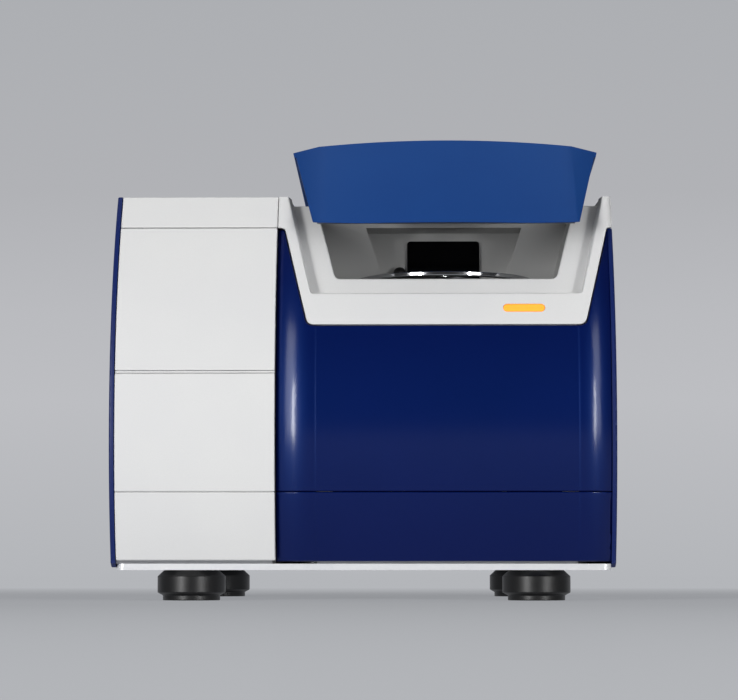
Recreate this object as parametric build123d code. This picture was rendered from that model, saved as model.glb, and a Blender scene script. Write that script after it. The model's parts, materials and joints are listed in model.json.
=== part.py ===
from build123d import *
import os
from math import pi, radians, sqrt, tan

# Near-infrared benchtop analyzer, millimetres.
# X to the right, Y to the back, Z up, origin on the bench under the middle of the whole.

# Overall body
body_width = 375.0
body_depth = 490.0
body_top = 305.5
origin_shift = 2.2
front_radius = 300.0
drum_height = 135.0
panel_gap = 0.5
seat_gap = 0.3
skin_step = 0.6
panel_edge_radius = 0.9
cut_ahead = 10.0
cut_behind = 110.0

# Sheet and panel thicknesses
side_wall = 3.5
panel_wall = 3.4
rear_wall = 3.5
top_wall = 3.4
frame_wall = 2.6
base_wall = 4.7
base_inset = 0.3
deck_wall = 2.5

# Feet
foot_height = 22.5
foot_radius = 25.4
foot_top_radius = 20.4
foot_pad_radius = 21.4
foot_pad_height = 3.7
foot_chamfer_height = 4.6
foot_recess_radius = 6.0
foot_front_inset = 42.8
foot_rear_inset = 135.2
foot_side_inset = 58.5

# Heights of the seams across the front
panel_bottom = 30.5
kick_seam = 79.8
trim_bottom = 167.4
trim_height = 2.1
cap_seam = 280.0
skirt_bottom = 24.5

# Widths along the front: the sample bay keeps its own, and the left bay takes the rest
bay_width = 252.5
bay_centre_inset = 125.8
left_column = 30.0
right_column = 28.1
column_roll = 7.0
crease_step = 1.0

# Bezel and lid pocket, measured from the middle of the sample bay
bezel_bottom = 203.9
bezel_half_bottom = 103.0
bezel_half_top = 121.3
bezel_wall = 4.0
bezel_corner = 6.0
bezel_top_corner = 4.0
pocket_bottom = 228.0
pocket_half_bottom = 101.0
pocket_half_top = 119.2
pocket_depth = 12.0
pocket_draft = 0.15
pocket_lip = 2.2
flange_wall = 3.0
flange_top = 299.8

# Status light
light_width = 31.0
light_height = 5.8
light_offset = 57.7
light_z = 216.5

# Sample chamber
opening_bottom = 240.5
opening_half_bottom = 83.0
opening_half_top = 98.0
opening_corner = 5.0
chamber_floor = 236.0
chamber_wall = 2.0
chamber_back_offset = 40.0
recess_clearance = 8.0
recess_wall = 1.6
recess_half_bottom = 48.5
recess_half_top = 61.5
recess_bottom = 252.0
recess_top = 293.2
slot_clearance = 4.0
slot_bottom = 240.0
sensor_half = 29.0
sensor_wall = 3.0
sensor_low_gap = 2.0
sensor_height = 32.4
sensor_corner = 2.6
bump_offset = 35.0
bump_rise = 8.0
bump_radius = 5.2
bump_stem_radius = 3.2
bump_reach = 6.0

# Turntable
table_front_inset = 36.8
table_radius = 68.0
table_top = 246.4
table_wall = 2.4
rim_wall = 1.6
rim_height = 3.2
beam_edge = 22.0
beam_hole = 13.0
window_half_angle = 42.0
spindle_radius = 6.0
spindle_fit = 0.05
spindle_flange_radius = 12.0
centre_pin_radius = 2.7
centre_seat_radius = 3.2
centre_pin_height = 4.5

# Gears of the turntable drive
gear_module = 1.0
gear_ratio = 3
gear_wall = 5.0
gear_top = 228.0
gear_backlash = 0.3
gear_tip_relief = 0.04
motor_radius = 14.0
motor_length = 30.0
motor_shaft_radius = 2.5
drive_plate_top = 217.0
drive_plate_wall = 3.0
pillar_radius = 4.0
pillar_gap = 6.0

# Lid
lid_gap = 2.0
lid_wall = 2.6
lid_rim_gap = 0.6
lid_bulge = 12.0
lid_crease_half = 96.5
lid_facet_slope = 0.62
lid_open_angle = 11.5
lid_overhang = 12.0
lid_ahead = 60.0
liner_wall = 1.5
seal_width = 3.6
seal_height = 1.3
seal_margin = 0.8
hinge_inset = 252.8
hinge_z = 289.5
hinge_pin_radius = 4.0
hinge_fit = 0.05
hinge_arm_wall = 6.0
hinge_spread = 84.0
hinge_block_wall = 14.0
hinge_boss_radius = 6.6
hinge_strap_wall = 1.2
hinge_bridge_top = 273.0
hinge_bridge_wall = 3.0

# Vents of the side covers
side_edge_radius = 1.2
side_vent_count = 8
side_vent_pitch = 11.0
side_vent_length = 70.0
side_vent_width = 5.0
side_vent_inset = 97.2
side_vent_z = 150.0

# Inner wall between the bays
bay_wall = 2.0
bay_wall_offset = 2.2

# Optical bench and what stands on it
bench_top = 72.0
bench_wall = 8.0
bench_rim = 6.0
bench_leg_radius = 12.0
bench_depth = 20.0
bench_left_gap = 17.2
bench_right_gap = 15.5
bench_front_gap = 52.8
bench_rear_gap = 97.2
tube_radius = 14.0
tube_wall = 2.0
tube_low = 124.0
block_half = 22.0
mono_left_reach = 81.7
mono_right_reach = 46.3
mono_setback = 54.0
mono_rear_gap = 50.0
mono_wall = 5.0
mono_top = 140.0
mono_cover_wall = 4.0
grating_offset = 1.7
grating_setback = 12.0
grating_shaft_radius = 5.0
grating_size = 40.0
scan_motor_radius = 19.0
scan_motor_height = 32.0
lamp_gap = 10.0
lamp_size = 46.0
lamp_length = 90.0
lamp_top = 138.0
lamp_fins = 9

# Electronics in the left bay
supply_side_gap = 10.0
supply_wall_gap = 12.0
supply_front_gap = 172.8
supply_rear_gap = 77.2
supply_slot_pitch = 12.0
supply_top = 102.0
board_wall = 1.6
board_stand = 6.0
board_length = 237.2
board_low = 112.0
board_top = 262.0

# Rear panel fittings
fan_size = 92.0
fan_wall = 25.0
fan_bore = 43.0
fan_hub_radius = 17.0
fan_blades = 7
fan_offset = 48.3
fan_z = 165.0
fan_grille_rings = 4
fan_grille_pitch = 6.6
fan_grille_slot = 4.0
fan_shaft_radius = 2.5
fan_clearance = 1.0
inlet_offset = 3.75
inlet_z = 72.0
inlet_width = 27.6
inlet_height = 20.0
inlet_depth = 24.0
inlet_flange = 2.5
module_height = 56.0
module_width = 31.0
switch_rise = 27.0
rocker_width = 9.0
rocker_height = 14.0
rocker_depth = 4.5
rocker_pin_radius = 1.2
rocker_tilt = 12.0
port_low = 150.0
port_pitch = 20.0
port_width = 15.0
port_height = 14.0
port_depth = 16.0

# Places worked out from the sizes above
half_width = body_width / 2
front_y = -body_depth / 2 + origin_shift
rear_y = body_depth / 2 + origin_shift
drum_y = front_y + front_radius
foot_front_y = front_y + foot_front_inset
foot_rear_y = rear_y - foot_rear_inset
foot_x = half_width - foot_side_inset
left_bay_edge = half_width - bay_width
left_crease = left_bay_edge + left_column
right_crease = half_width - right_column
bay_x = half_width - bay_centre_inset
light_x = bay_x + light_offset
side_inner = half_width - side_wall
base_half = side_inner - base_inset
base_top = foot_height + base_wall
panel_back = skin_step + panel_wall
frame_back = panel_back + frame_wall
rear_inner = rear_y - rear_wall
table_bottom = table_top - table_wall
table_y = front_y + table_front_inset + table_radius
chamber_back = table_y + chamber_back_offset
recess_back = table_y + table_radius + recess_clearance
slot_half = table_radius + slot_clearance
beam_radius = table_radius - beam_edge
pinion_teeth = int((beam_radius - tube_radius - tube_wall) * 2 / gear_ratio / gear_module)
gear_teeth = gear_ratio * pinion_teeth
gear_bottom = gear_top - gear_wall
gear_pitch = gear_module * gear_teeth / 2
pinion_pitch = gear_module * pinion_teeth / 2
pinion_x = bay_x + gear_pitch + pinion_pitch
pillar_reach = gear_pitch + pillar_gap
lid_under = flange_top + lid_rim_gap
beam_x = bay_x - beam_radius
hinge_y = front_y + hinge_inset
lid_rear = hinge_y + lid_overhang
bay_wall_x = left_bay_edge - bay_wall_offset
bench_left = bay_wall_x + bench_left_gap
bench_right = half_width - bench_right_gap
bench_front = front_y + bench_front_gap
bench_rear = rear_y - bench_rear_gap
mono_left = bay_x - mono_left_reach
mono_right = bay_x + mono_right_reach
mono_front = table_y + mono_setback
mono_rear = bench_rear - mono_rear_gap
grating_x = bay_x - grating_offset
grating_y = (mono_front + mono_rear) / 2 + grating_setback
lamp_left = mono_right + lamp_gap
lamp_front = mono_rear - lamp_length
supply_left = supply_side_gap - side_inner
supply_right = bay_wall_x - supply_wall_gap
supply_front = front_y + supply_front_gap
supply_rear = rear_y - supply_rear_gap
board_front = rear_y - board_length
side_vent_y = rear_y - side_vent_inset
fan_x = bay_x + fan_offset
inlet_x = (left_bay_edge - half_width) / 2 - inlet_offset
port_left = bay_wall_x - board_stand - board_wall - port_width
liner_drop = 1.0
liner_under = lid_under + liner_drop
liner_depth = pocket_depth - lid_rim_gap - liner_drop


def block(x0, x1, y0, y1, z0, z1):
    solid = Box(x1 - x0, y1 - y0, z1 - z0)
    return Pos((x0 + x1) / 2, (y0 + y1) / 2, (z0 + z1) / 2) * solid


def rod_x(radius, x0, x1, y, z):
    return Pos((x0 + x1) / 2, y, z) * Rot(0, 90, 0) * Cylinder(radius, x1 - x0)


def rod_y(radius, x, y0, y1, z):
    return Pos(x, (y0 + y1) / 2, z) * Rot(90, 0, 0) * Cylinder(radius, y1 - y0)


def rod_z(radius, x, y, z0, z1):
    return Pos(x, y, (z0 + z1) / 2) * Cylinder(radius, z1 - z0)


def side_prism(points, x0, x1):
    outline = Plane.YZ.offset(x0) * make_face(Polyline(*points, close=True))
    return extrude(outline, x1 - x0)


def front_prism(outline, y0, y1):
    return extrude(Plane.XZ.offset(-y0) * outline, y0 - y1)


def front_cut(outline):
    # A prism that runs right through the curved front.
    return front_prism(outline, front_y - cut_ahead, front_y + cut_behind)


def drum(depth, x0, x1):
    return rod_x(front_radius - depth, x0, x1, drum_y, drum_height)


def front_skin(depth0, depth1, x0, x1, z0, z1):
    # A strip of the curved front between two depths, level at top and bottom.
    ring = drum(depth0, x0, x1) - drum(depth1, x0 - 1, x1 + 1)
    return ring & block(x0, x1, front_y - 1, front_y + cut_behind, z0, z1)


def front_at(z, depth):
    radius = front_radius - depth
    return drum_y - sqrt(radius ** 2 - (z - drum_height) ** 2)


def turned_profile(outline, z0, z1):
    # Sweeps a plan profile round the level axis of the curved front.
    axis = Axis((0, drum_y, drum_height), (1, 0, 0))
    ring = revolve(Pos(0, 0, drum_height) * outline, axis)
    return ring & block(-half_width, half_width, front_y - 1, front_y + cut_behind, z0, z1)


def trapezoid(half_bottom, half_top, z0, z1, middle=bay_x):
    corners = [
        (middle - half_bottom, z0),
        (middle + half_bottom, z0),
        (middle + half_top, z1),
        (middle - half_top, z1),
    ]
    return make_face(Polyline(*corners, close=True))


def wedge(half_at, z0, z1, y0, y1):
    # A block with slanted and drafted side walls: half_at gives the half width at a height and depth.
    faces = []
    for y in (y0, y1):
        outline = trapezoid(half_at(z0, y), half_at(z1, y), z0, z1)
        faces.append(Plane.XZ.offset(-y) * outline)
    return loft(faces)


def pocket_half(z, y, gap=0.0):
    pocket_top_y = front_at(body_top, 0)
    pocket_low_y = front_at(pocket_bottom, 0)
    back = pocket_draft * (pocket_top_y - pocket_low_y)
    rise = (pocket_half_top - pocket_half_bottom + back) / (body_top - pocket_bottom)
    return pocket_half_bottom + rise * (z - pocket_bottom) - pocket_draft * (y - pocket_low_y) - gap


def valley_half(z, y, gap=0.0):
    valley_draft = 0.04
    slope = (pocket_half_top - pocket_half_bottom) / (body_top - pocket_bottom)
    back = y - front_at(body_top, 0)
    return pocket_half_top - slope * (body_top - z) - valley_draft * back - gap


def opening_half(z):
    slope = (opening_half_top - opening_half_bottom) / (flange_top - opening_bottom)
    return opening_half_bottom + slope * (z - opening_bottom)


def slotted(length, width, height):
    return extrude(SlotOverall(length, width), height)


def port_heights():
    return [port_low + count * port_pitch for count in range(3)]


# Base plate and feet

def foot_places():
    places = []
    for y in (foot_front_y, foot_rear_y):
        for x in (-foot_x, foot_x):
            places.append((x, y))
    return places


def make_foot(x, y):
    profile = Polyline(
        (0, foot_height),
        (foot_top_radius, foot_height),
        (foot_radius, foot_height - foot_chamfer_height),
        (foot_radius, foot_pad_height + 2.2),
        (foot_pad_radius, foot_pad_height),
        (foot_pad_radius, 0),
        (foot_recess_radius, 0),
        (foot_recess_radius, foot_pad_height),
        (0, foot_pad_height),
        close=True,
    )
    foot = revolve(Plane.XZ * make_face(profile), Axis.Z)
    return Pos(x, y, 0) * foot


def make_base_plate():
    front_edge = front_at(panel_bottom, panel_wall)
    plate = block(-base_half, base_half, front_edge, rear_inner, foot_height, base_top)
    plate = fillet(plate.edges().filter_by(Axis.Z), 6)
    vent = GridLocations(14, 0, 9, 1)
    for spot in vent:
        for y in (-60.0, 30.0):
            slot = Rot(0, 0, 90) * slotted(46, 5, base_wall + 2)
            plate -= Pos(spot.position.X + 40, y, foot_height - 1) * slot
    return plate


# Covers

def side_profile(top, setback):
    # Side outline with the curved front edge and a small tab at the lower front corner.
    def edge_point(z):
        return (front_at(z, setback), z)

    middle = (panel_bottom + top) / 2
    curve = ThreePointArc(edge_point(panel_bottom), edge_point(middle), edge_point(top))
    tab_y = front_at(panel_bottom, setback)
    rest = Polyline(
        edge_point(top),
        (rear_y, top),
        (rear_y, skirt_bottom),
        (tab_y + 12, skirt_bottom),
        (tab_y + 6, skirt_bottom),
        (tab_y, skirt_bottom + 3),
        edge_point(panel_bottom),
    )
    return make_face(curve + rest)


def make_side_cover(side):
    top = body_top if side < 0 else cap_seam - panel_gap / 2
    setback = 0.4 if side < 0 else column_roll - 0.6
    outer = half_width if side > 0 else -side_inner
    cover = extrude(Plane.YZ.offset(outer - side_wall) * side_profile(top, setback), side_wall)
    faces = cover.faces().sort_by(Axis.X)
    skin = faces[-1] if side > 0 else faces[0]
    cover = fillet(skin.edges(), side_edge_radius)
    for spot in GridLocations(0, side_vent_pitch, 1, side_vent_count):
        outline = SlotOverall(side_vent_length, side_vent_width)
        outline = Pos(side_vent_y, side_vent_z + spot.position.Y) * outline
        cover -= extrude(Plane.YZ.offset(outer - side_wall - 1) * outline, side_wall + 2)
    return cover


def make_rear_panel():
    reach = side_inner - seat_gap
    panel = block(-reach, reach, rear_inner, rear_y, skirt_bottom, body_top - top_wall)
    for ring in range(fan_grille_rings):
        radius = fan_hub_radius + 3 + ring * fan_grille_pitch
        arc = trace(CenterArc((0, 0), radius, 0, 60 - 240 / radius), fan_grille_slot)
        for turn in range(6):
            slot = Pos(fan_x, fan_z) * Rot(0, 0, turn * 60) * arc
            panel -= front_prism(slot, rear_inner - 1, rear_y + 1)
    module_middle = inlet_z + switch_rise / 2
    panel -= block(
        inlet_x - module_width / 2, inlet_x + module_width / 2,
        rear_inner - 1, rear_y + 1,
        module_middle - module_height / 2, module_middle + module_height / 2,
    )
    for z in port_heights():
        panel -= block(
            port_left - panel_gap, port_left + port_width + panel_gap,
            rear_inner - 1, rear_y + 1,
            z - panel_gap, z + port_height + panel_gap,
        )
    return panel


def make_top_cover():
    front_edge = front_at(body_top, bezel_wall + seat_gap)
    left = -side_inner + seat_gap
    plate = block(left, half_width, front_edge, rear_y, body_top - top_wall, body_top)
    skirt = block(side_inner, half_width, front_edge - 12, rear_y, cap_seam + panel_gap / 2, body_top)
    cover = plate + skirt
    cover = fillet(cover.edges().filter_by(Axis.Y).sort_by(Axis.X)[-1], 1.5)
    behind = block(-half_width, half_width, drum_y, rear_y, 0, body_top + 1)
    cover &= drum(bezel_wall + seat_gap, -half_width, half_width) + behind

    def outer_half(z, y):
        return valley_half(z, y, -2.4)

    rear_edge = lid_rear + 5
    near = front_at(body_top, 0) - 40
    trough = wedge(valley_half, flange_top, body_top + 1, near, rear_edge)
    shoulder = wedge(outer_half, flange_top - deck_wall, body_top, near, rear_edge)
    shoulder &= drum(pocket_depth + flange_wall + seat_gap, -half_width, half_width)
    cover = cover + shoulder - trough
    cover -= lip_envelope(seat_gap)
    low = flange_top - 6
    high = flange_top + 4
    deck_cut = trapezoid(opening_half(low), opening_half(high), low, high)
    cover -= front_prism(deck_cut, front_y, chamber_back)
    cover -= wedge(valley_half, flange_top - 6, flange_top + 1, hinge_y - 12, rear_edge - 0.1)
    return cover


# Inner frames behind the panels

def make_front_frame(x0, x1, top, rows):
    frame = front_skin(panel_back, frame_back, x0, x1, base_top, top)
    margin = 12.0
    height = (top - base_top - margin) / rows
    for row in range(rows):
        low = base_top + margin + row * height
        window = RectangleRounded(x1 - x0 - 2 * margin, height - margin, 6)
        window = Pos((x0 + x1) / 2, low + (height - margin) / 2) * window
        frame -= front_cut(window)
    return frame


def make_bay_wall():
    # Upright sheet between the two bays, its front edge following the curved panels.
    depth = column_roll + panel_wall + 0.4
    top = flange_top - deck_wall - seat_gap

    def edge_point(z):
        return (front_at(z, depth), z)

    rear = rear_inner - seat_gap
    curve = ThreePointArc(edge_point(base_top), edge_point((base_top + top) / 2), edge_point(top))
    rest = Polyline(edge_point(top), (rear, top), (rear, base_top), edge_point(base_top))
    wall = extrude(Plane.YZ.offset(bay_wall_x) * make_face(curve + rest), bay_wall)
    for y, z in ((front_y + 92.8, 120.0), (front_y + 202.8, 70.0), (front_y + 202.8, 170.0)):
        opening = Pos(y, z) * RectangleRounded(60, 30, 8)
        wall -= extrude(Plane.YZ.offset(bay_wall_x - 1) * opening, bay_wall + 2)
    return wall


# Front panels of the left bay

def make_left_panel(z0, z1):
    left = -side_inner + panel_gap
    right = left_bay_edge - panel_gap / 2
    panel = front_skin(skin_step, panel_back, left, right, z0, z1)
    return fillet(panel.faces().sort_by(Axis.Y)[0].edges(), panel_edge_radius)


def make_trim_strip():
    return front_skin(
        skin_step + 1.3, panel_back,
        -side_inner + panel_gap, left_bay_edge - panel_gap / 2,
        trim_bottom + 0.35, trim_bottom + trim_height - 0.35,
    )


# Blue panels of the right bay

def column_profile():
    left = left_bay_edge + panel_gap / 2
    right = side_inner - panel_gap / 2
    wall = panel_back - crease_step

    def point(x, depth):
        return (x, front_y + depth)

    outer = [
        ThreePointArc(point(left, column_roll), point(left + 12, 1.7), point(left_crease, 0)),
        Line(point(left_crease, 0), point(left_crease + 0.6, crease_step)),
        Line(point(left_crease + 0.6, crease_step), point(right_crease - 0.6, crease_step)),
        Line(point(right_crease - 0.6, crease_step), point(right_crease, 0)),
        ThreePointArc(point(right_crease, 0), point(right - 10, 1.7), point(right, column_roll)),
    ]
    inner = [
        Line(point(right, column_roll), point(right, column_roll + wall)),
        ThreePointArc(
            point(right, column_roll + wall), point(right - 10, 1.7 + wall), point(right_crease, panel_back)
        ),
        Line(point(right_crease, panel_back), point(left_crease, panel_back)),
        ThreePointArc(
            point(left_crease, panel_back), point(left + 12, 1.7 + wall), point(left, column_roll + wall)
        ),
        Line(point(left, column_roll + wall), point(left, column_roll)),
    ]
    return make_face(outer + inner)


def bezel_outline(grow=0.0):
    corners = [
        (left_bay_edge + panel_gap / 2 - 4 * grow, body_top + 1),
        (left_bay_edge + panel_gap / 2 - 4 * grow, cap_seam - grow),
        (bay_x - bezel_half_top - grow, cap_seam - grow),
        (bay_x - bezel_half_bottom - grow, bezel_bottom - grow),
        (bay_x + bezel_half_bottom + grow, bezel_bottom - grow),
        (bay_x + bezel_half_top + grow, cap_seam - grow),
        (half_width, cap_seam - grow),
        (half_width, body_top + 1),
    ]
    outline = make_face(Polyline(*corners, close=True))
    low = outline.vertices().filter_by_position(Axis.Y, bezel_bottom - 2, bezel_bottom + 1)
    outline = fillet(low, bezel_corner)
    seam = outline.vertices().filter_by_position(Axis.Y, cap_seam - 2, cap_seam + 1)
    return fillet(seam.sort_by(Axis.X)[1:-1], bezel_top_corner)


def make_right_panel():
    panel = turned_profile(column_profile(), kick_seam + panel_gap, cap_seam - panel_gap)
    return panel - front_cut(bezel_outline(panel_gap + 0.2))


def make_right_kick_panel():
    return turned_profile(column_profile(), panel_bottom, kick_seam - panel_gap)


# Bezel, status light and lid seat

def bezel_profile():
    left = left_bay_edge + panel_gap / 2
    shoulder = half_width - 6

    def point(x, depth):
        return (x, front_y + depth)

    curve = ThreePointArc(point(shoulder, 0), point(half_width - 1.6, 1.4), point(half_width, 6))
    rest = Polyline(
        point(half_width, 6),
        point(half_width, pocket_depth),
        point(left, pocket_depth),
        point(left, 0),
        point(shoulder, 0),
    )
    return make_face(curve + rest)


def lip_envelope(grow):
    # The bezel's walls round the lid pocket, grown by a clearance.
    def lip_half(z, y):
        return pocket_half(z, y, -pocket_lip - grow)

    low = pocket_bottom - pocket_lip - grow
    walls = wedge(lip_half, low, body_top + 1, front_y - cut_ahead, front_y + cut_behind)
    ring = drum(0, -half_width, half_width + 1)
    ring -= drum(pocket_depth + grow, -half_width - 1, half_width + 2)
    return walls & ring


def make_front_bezel():
    body = turned_profile(bezel_profile(), bezel_bottom, body_top)
    body &= front_cut(bezel_outline())
    y0 = front_y - cut_ahead
    y1 = front_y + cut_behind

    def lip_half(z, y):
        return pocket_half(z, y, -pocket_lip)

    lip = wedge(lip_half, pocket_bottom - pocket_lip, body_top + 1, y0, y1)
    core = drum(bezel_wall, -half_width - 1, half_width + 1) - lip
    pocket = wedge(pocket_half, pocket_bottom, body_top + 2, y0, y1)
    return body - core - pocket - light_shape(0)


def light_shape(gap):
    outline = SlotOverall(light_width - 2 * gap, light_height - 2 * gap)
    return front_cut(Pos(light_x, light_z) * outline)


def make_status_lens():
    ring = drum(seat_gap, -half_width, half_width)
    ring -= drum(bezel_wall, -half_width - 1, half_width + 1)
    return light_shape(seat_gap / 2) & ring


def make_seat_flange():
    low = pocket_bottom - 8
    reach = pocket_half_top + 1.8
    skin = front_skin(
        pocket_depth + 0.02, pocket_depth + flange_wall,
        bay_x - reach, bay_x + reach,
        low, flange_top,
    )
    foot_half = pocket_half(low, front_y - cut_ahead) + 2
    skin &= front_cut(trapezoid(foot_half, pocket_half_top + 1, low, body_top))
    rise = 30
    mouth = trapezoid(opening_half_bottom, opening_half(flange_top + rise), opening_bottom, flange_top + rise)
    mouth = fillet(mouth.vertices().sort_by(Axis.Y)[0:2], opening_corner)
    return skin - front_cut(mouth)


# Sample chamber

def chamber_outline(grow, top):
    floor = chamber_floor - grow
    outline = trapezoid(opening_half(floor) + grow, opening_half(top) + grow, floor, top)
    return fillet(outline.vertices().sort_by(Axis.Y)[0:2], opening_corner + grow)


def recess_outline(grow=0.0):
    low = recess_bottom - grow
    high = recess_top + grow
    return trapezoid(recess_half_bottom + grow, recess_half_top + grow, low, high)


def make_chamber_tub():
    top = flange_top - deck_wall - seat_gap
    back = chamber_back
    shell = front_prism(chamber_outline(chamber_wall, top), front_y, back + chamber_wall)
    space = front_prism(chamber_outline(0, top + 1), front_y - 1, back)
    tub = (shell - space) & drum(pocket_depth + flange_wall, -half_width, half_width)
    tub -= front_prism(recess_outline(), back - 1, back + 5)
    slot = block(bay_x - slot_half, bay_x + slot_half, back - 1, back + 5, slot_bottom, recess_bottom - 2)
    tub -= slot
    tub -= rod_z(spindle_radius + 5, bay_x, table_y, chamber_floor - 5, chamber_floor + 1)
    tub -= rod_z(beam_hole, beam_x, table_y, chamber_floor - 5, chamber_floor + 1)
    return tub


def make_chamber_recess():
    # Trapezoid box behind the chamber wall, with the slot that the turntable runs in.
    front = chamber_back + chamber_wall
    rear = recess_back + recess_wall
    reach = slot_half + recess_wall
    outer = front_prism(recess_outline(recess_wall), front, rear)
    low = block(
        bay_x - reach, bay_x + reach,
        front, rear,
        slot_bottom - recess_wall, recess_bottom - 2 + recess_wall,
    )
    inner = front_prism(recess_outline(), front - 1, recess_back)
    inner += block(
        bay_x - slot_half, bay_x + slot_half,
        front - 1, recess_back,
        slot_bottom, recess_bottom - 2,
    )
    return outer + low - inner


def make_sensor_window():
    low = recess_bottom + sensor_low_gap
    cover = block(
        bay_x - sensor_half, bay_x + sensor_half,
        recess_back - sensor_wall, recess_back,
        low, low + sensor_height,
    )
    return fillet(cover.edges().filter_by(Axis.Y).sort_by(Axis.Z)[-2:], sensor_corner)


def make_cup_sensor():
    x = bay_x - bump_offset
    z = recess_bottom + bump_rise
    stem = rod_y(bump_stem_radius, x, recess_back - bump_reach, recess_back, z)
    return stem + Pos(x, recess_back - bump_reach, z) * Sphere(bump_radius)


def make_floor_window():
    return rod_z(beam_hole - 0.1, beam_x, table_y, chamber_floor - chamber_wall, chamber_floor)


def make_window_ring():
    ring = rod_z(beam_hole + 3.5, beam_x, table_y, chamber_floor, chamber_floor + 1.5)
    ring -= rod_z(beam_hole - 1.5, beam_x, table_y, chamber_floor - 1, chamber_floor + 2)
    return ring


# Turntable and its gear drive

def make_turntable_disc():
    disc = rod_z(table_radius - rim_wall, bay_x, table_y, table_bottom, table_top)
    disc -= rod_z(centre_seat_radius, bay_x, table_y, table_bottom - 1, table_top + 1)
    for turn in (0, 120, 240):
        arc = CenterArc((0, 0), beam_radius, -window_half_angle, 2 * window_half_angle)
        window = extrude(trace(arc, 2 * beam_hole), table_wall + 2)
        window = Rot(0, 0, turn + 180) * window
        disc -= Pos(bay_x, table_y, table_bottom - 1) * window
    return disc


def make_turntable_rim():
    middle = (table_top + table_bottom) / 2
    low = middle - rim_height / 2
    high = middle + rim_height / 2
    inner = table_radius - rim_wall
    profile = Polyline(
        (inner, low + 0.4),
        (inner, high - 0.4),
        (inner + 0.4, high),
        (table_radius - 0.5, high),
        (table_radius, high - 0.5),
        (table_radius, low + 0.5),
        (table_radius - 0.5, low),
        (inner + 0.4, low),
        close=True,
    )
    ring = revolve(Plane.XZ * make_face(profile), Axis.Z)
    return Pos(bay_x, table_y, 0) * ring


def make_spindle():
    # One turned piece: shaft, flange under the disc and the locating pin above it.
    low = drive_plate_top - drive_plate_wall
    pin_top = table_top + centre_pin_height
    profile = Polyline(
        (0, low),
        (spindle_radius - 0.5, low),
        (spindle_radius, low + 0.5),
        (spindle_radius, table_bottom - 3),
        (spindle_flange_radius, table_bottom - 3),
        (spindle_flange_radius, table_bottom),
        (centre_seat_radius, table_bottom),
        (centre_seat_radius, table_top),
        (centre_pin_radius, table_top),
        (centre_pin_radius, pin_top - 0.8),
        (centre_pin_radius - 0.8, pin_top),
        (0, pin_top),
        close=True,
    )
    return Pos(bay_x, table_y, 0) * revolve(Plane.XZ * make_face(profile), Axis.Z)


def make_bearing():
    outer = rod_z(spindle_radius + 5, bay_x, table_y, chamber_floor - 4, chamber_floor + 1)
    collar = rod_z(spindle_radius + 8, bay_x, table_y, chamber_floor - 5, chamber_floor - chamber_wall)
    bore = rod_z(spindle_radius + spindle_fit, bay_x, table_y, chamber_floor - 6, chamber_floor + 2)
    return outer + collar - bore


def tooth_outline(teeth):
    # One straight-flanked tooth with the involute's pressure angle at the pitch circle.
    pitch = gear_module * teeth / 2
    tip = pitch + gear_module * 0.95
    root = pitch - gear_module * 1.2
    half = (pi * gear_module / 2 - gear_backlash) / 2
    slope = tan(radians(20))
    tip_half = half - (tip - pitch) * slope - gear_tip_relief
    root_half = half + (pitch - root) * slope
    corners = [
        (root - 0.4, -root_half),
        (root, -root_half),
        (pitch, -half),
        (tip, -tip_half),
        (tip, tip_half),
        (pitch, half),
        (root, root_half),
        (root - 0.4, root_half),
    ]
    return root, make_face(Polyline(*corners, close=True))


def gear_blank(teeth, first_angle):
    root, tooth = tooth_outline(teeth)
    outline = Circle(root)
    for count in range(teeth):
        outline += Rot(0, 0, first_angle + count * 360 / teeth) * tooth
    return extrude(outline, gear_wall)


def make_ring_gear():
    gear = gear_blank(gear_teeth, 0)
    gear -= Pos(0, 0, gear_wall / 2) * Cylinder(spindle_radius, gear_wall + 2)
    for turn in range(5):
        hole = Pos(gear_pitch * 0.57, 0, gear_wall / 2) * Cylinder(gear_pitch * 0.18, gear_wall + 2)
        gear -= Rot(0, 0, turn * 72) * hole
    return Pos(bay_x, table_y, gear_bottom) * gear


def make_pinion():
    gear = gear_blank(pinion_teeth, 180 + 180 / pinion_teeth)
    hub = Pos(0, 0, gear_wall + 1.5) * Cylinder(5.5, 3)
    shaft_low = drive_plate_top - drive_plate_wall - gear_bottom
    shaft = rod_z(motor_shaft_radius, 0, 0, shaft_low, gear_wall + 4.5)
    return Pos(pinion_x, table_y, gear_bottom) * (gear + hub + shaft)


def make_drive_motor():
    plate_bottom = drive_plate_top - drive_plate_wall
    body = rod_z(motor_radius, pinion_x, table_y, plate_bottom - motor_length, plate_bottom)
    body = chamfer(body.edges().sort_by(Axis.Z)[0], 1.5)
    collar = rod_z(6, pinion_x, table_y, plate_bottom, drive_plate_top + 1)
    bore_radius = motor_shaft_radius + spindle_fit
    bore = rod_z(bore_radius, pinion_x, table_y, plate_bottom - 2 * seat_gap, gear_top)
    return body + collar - bore


def make_drive_plate():
    low = drive_plate_top - drive_plate_wall
    reach = pillar_reach + pillar_gap
    plate = block(bay_x - 40, pinion_x + 22, table_y - reach, table_y + reach, low, drive_plate_top)
    plate = fillet(plate.edges().filter_by(Axis.Z), 8)
    plate -= rod_z(spindle_radius + spindle_fit, bay_x, table_y, low - 1, drive_plate_top + 1)
    plate -= rod_z(6.1, pinion_x, table_y, low - 1, drive_plate_top + 1)
    plate -= rod_z(beam_hole + 2, beam_x, table_y, low - 1, drive_plate_top + 1)
    for x in (bay_x - 12, pinion_x + 15):
        for y in (table_y - pillar_reach, table_y + pillar_reach):
            plate += rod_z(pillar_radius, x, y, drive_plate_top, chamber_floor - chamber_wall)
    return plate


# Lid, modelled closed and then raised round its hinge

def raise_lid(solid):
    hinge = Pos(0, hinge_y, hinge_z)
    return hinge * Rot(-lid_open_angle, 0, 0) * hinge.inverse() * solid


def pocket_lean():
    run = front_at(body_top, 0) - front_at(pocket_bottom, 0)
    return run, body_top - pocket_bottom


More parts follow.
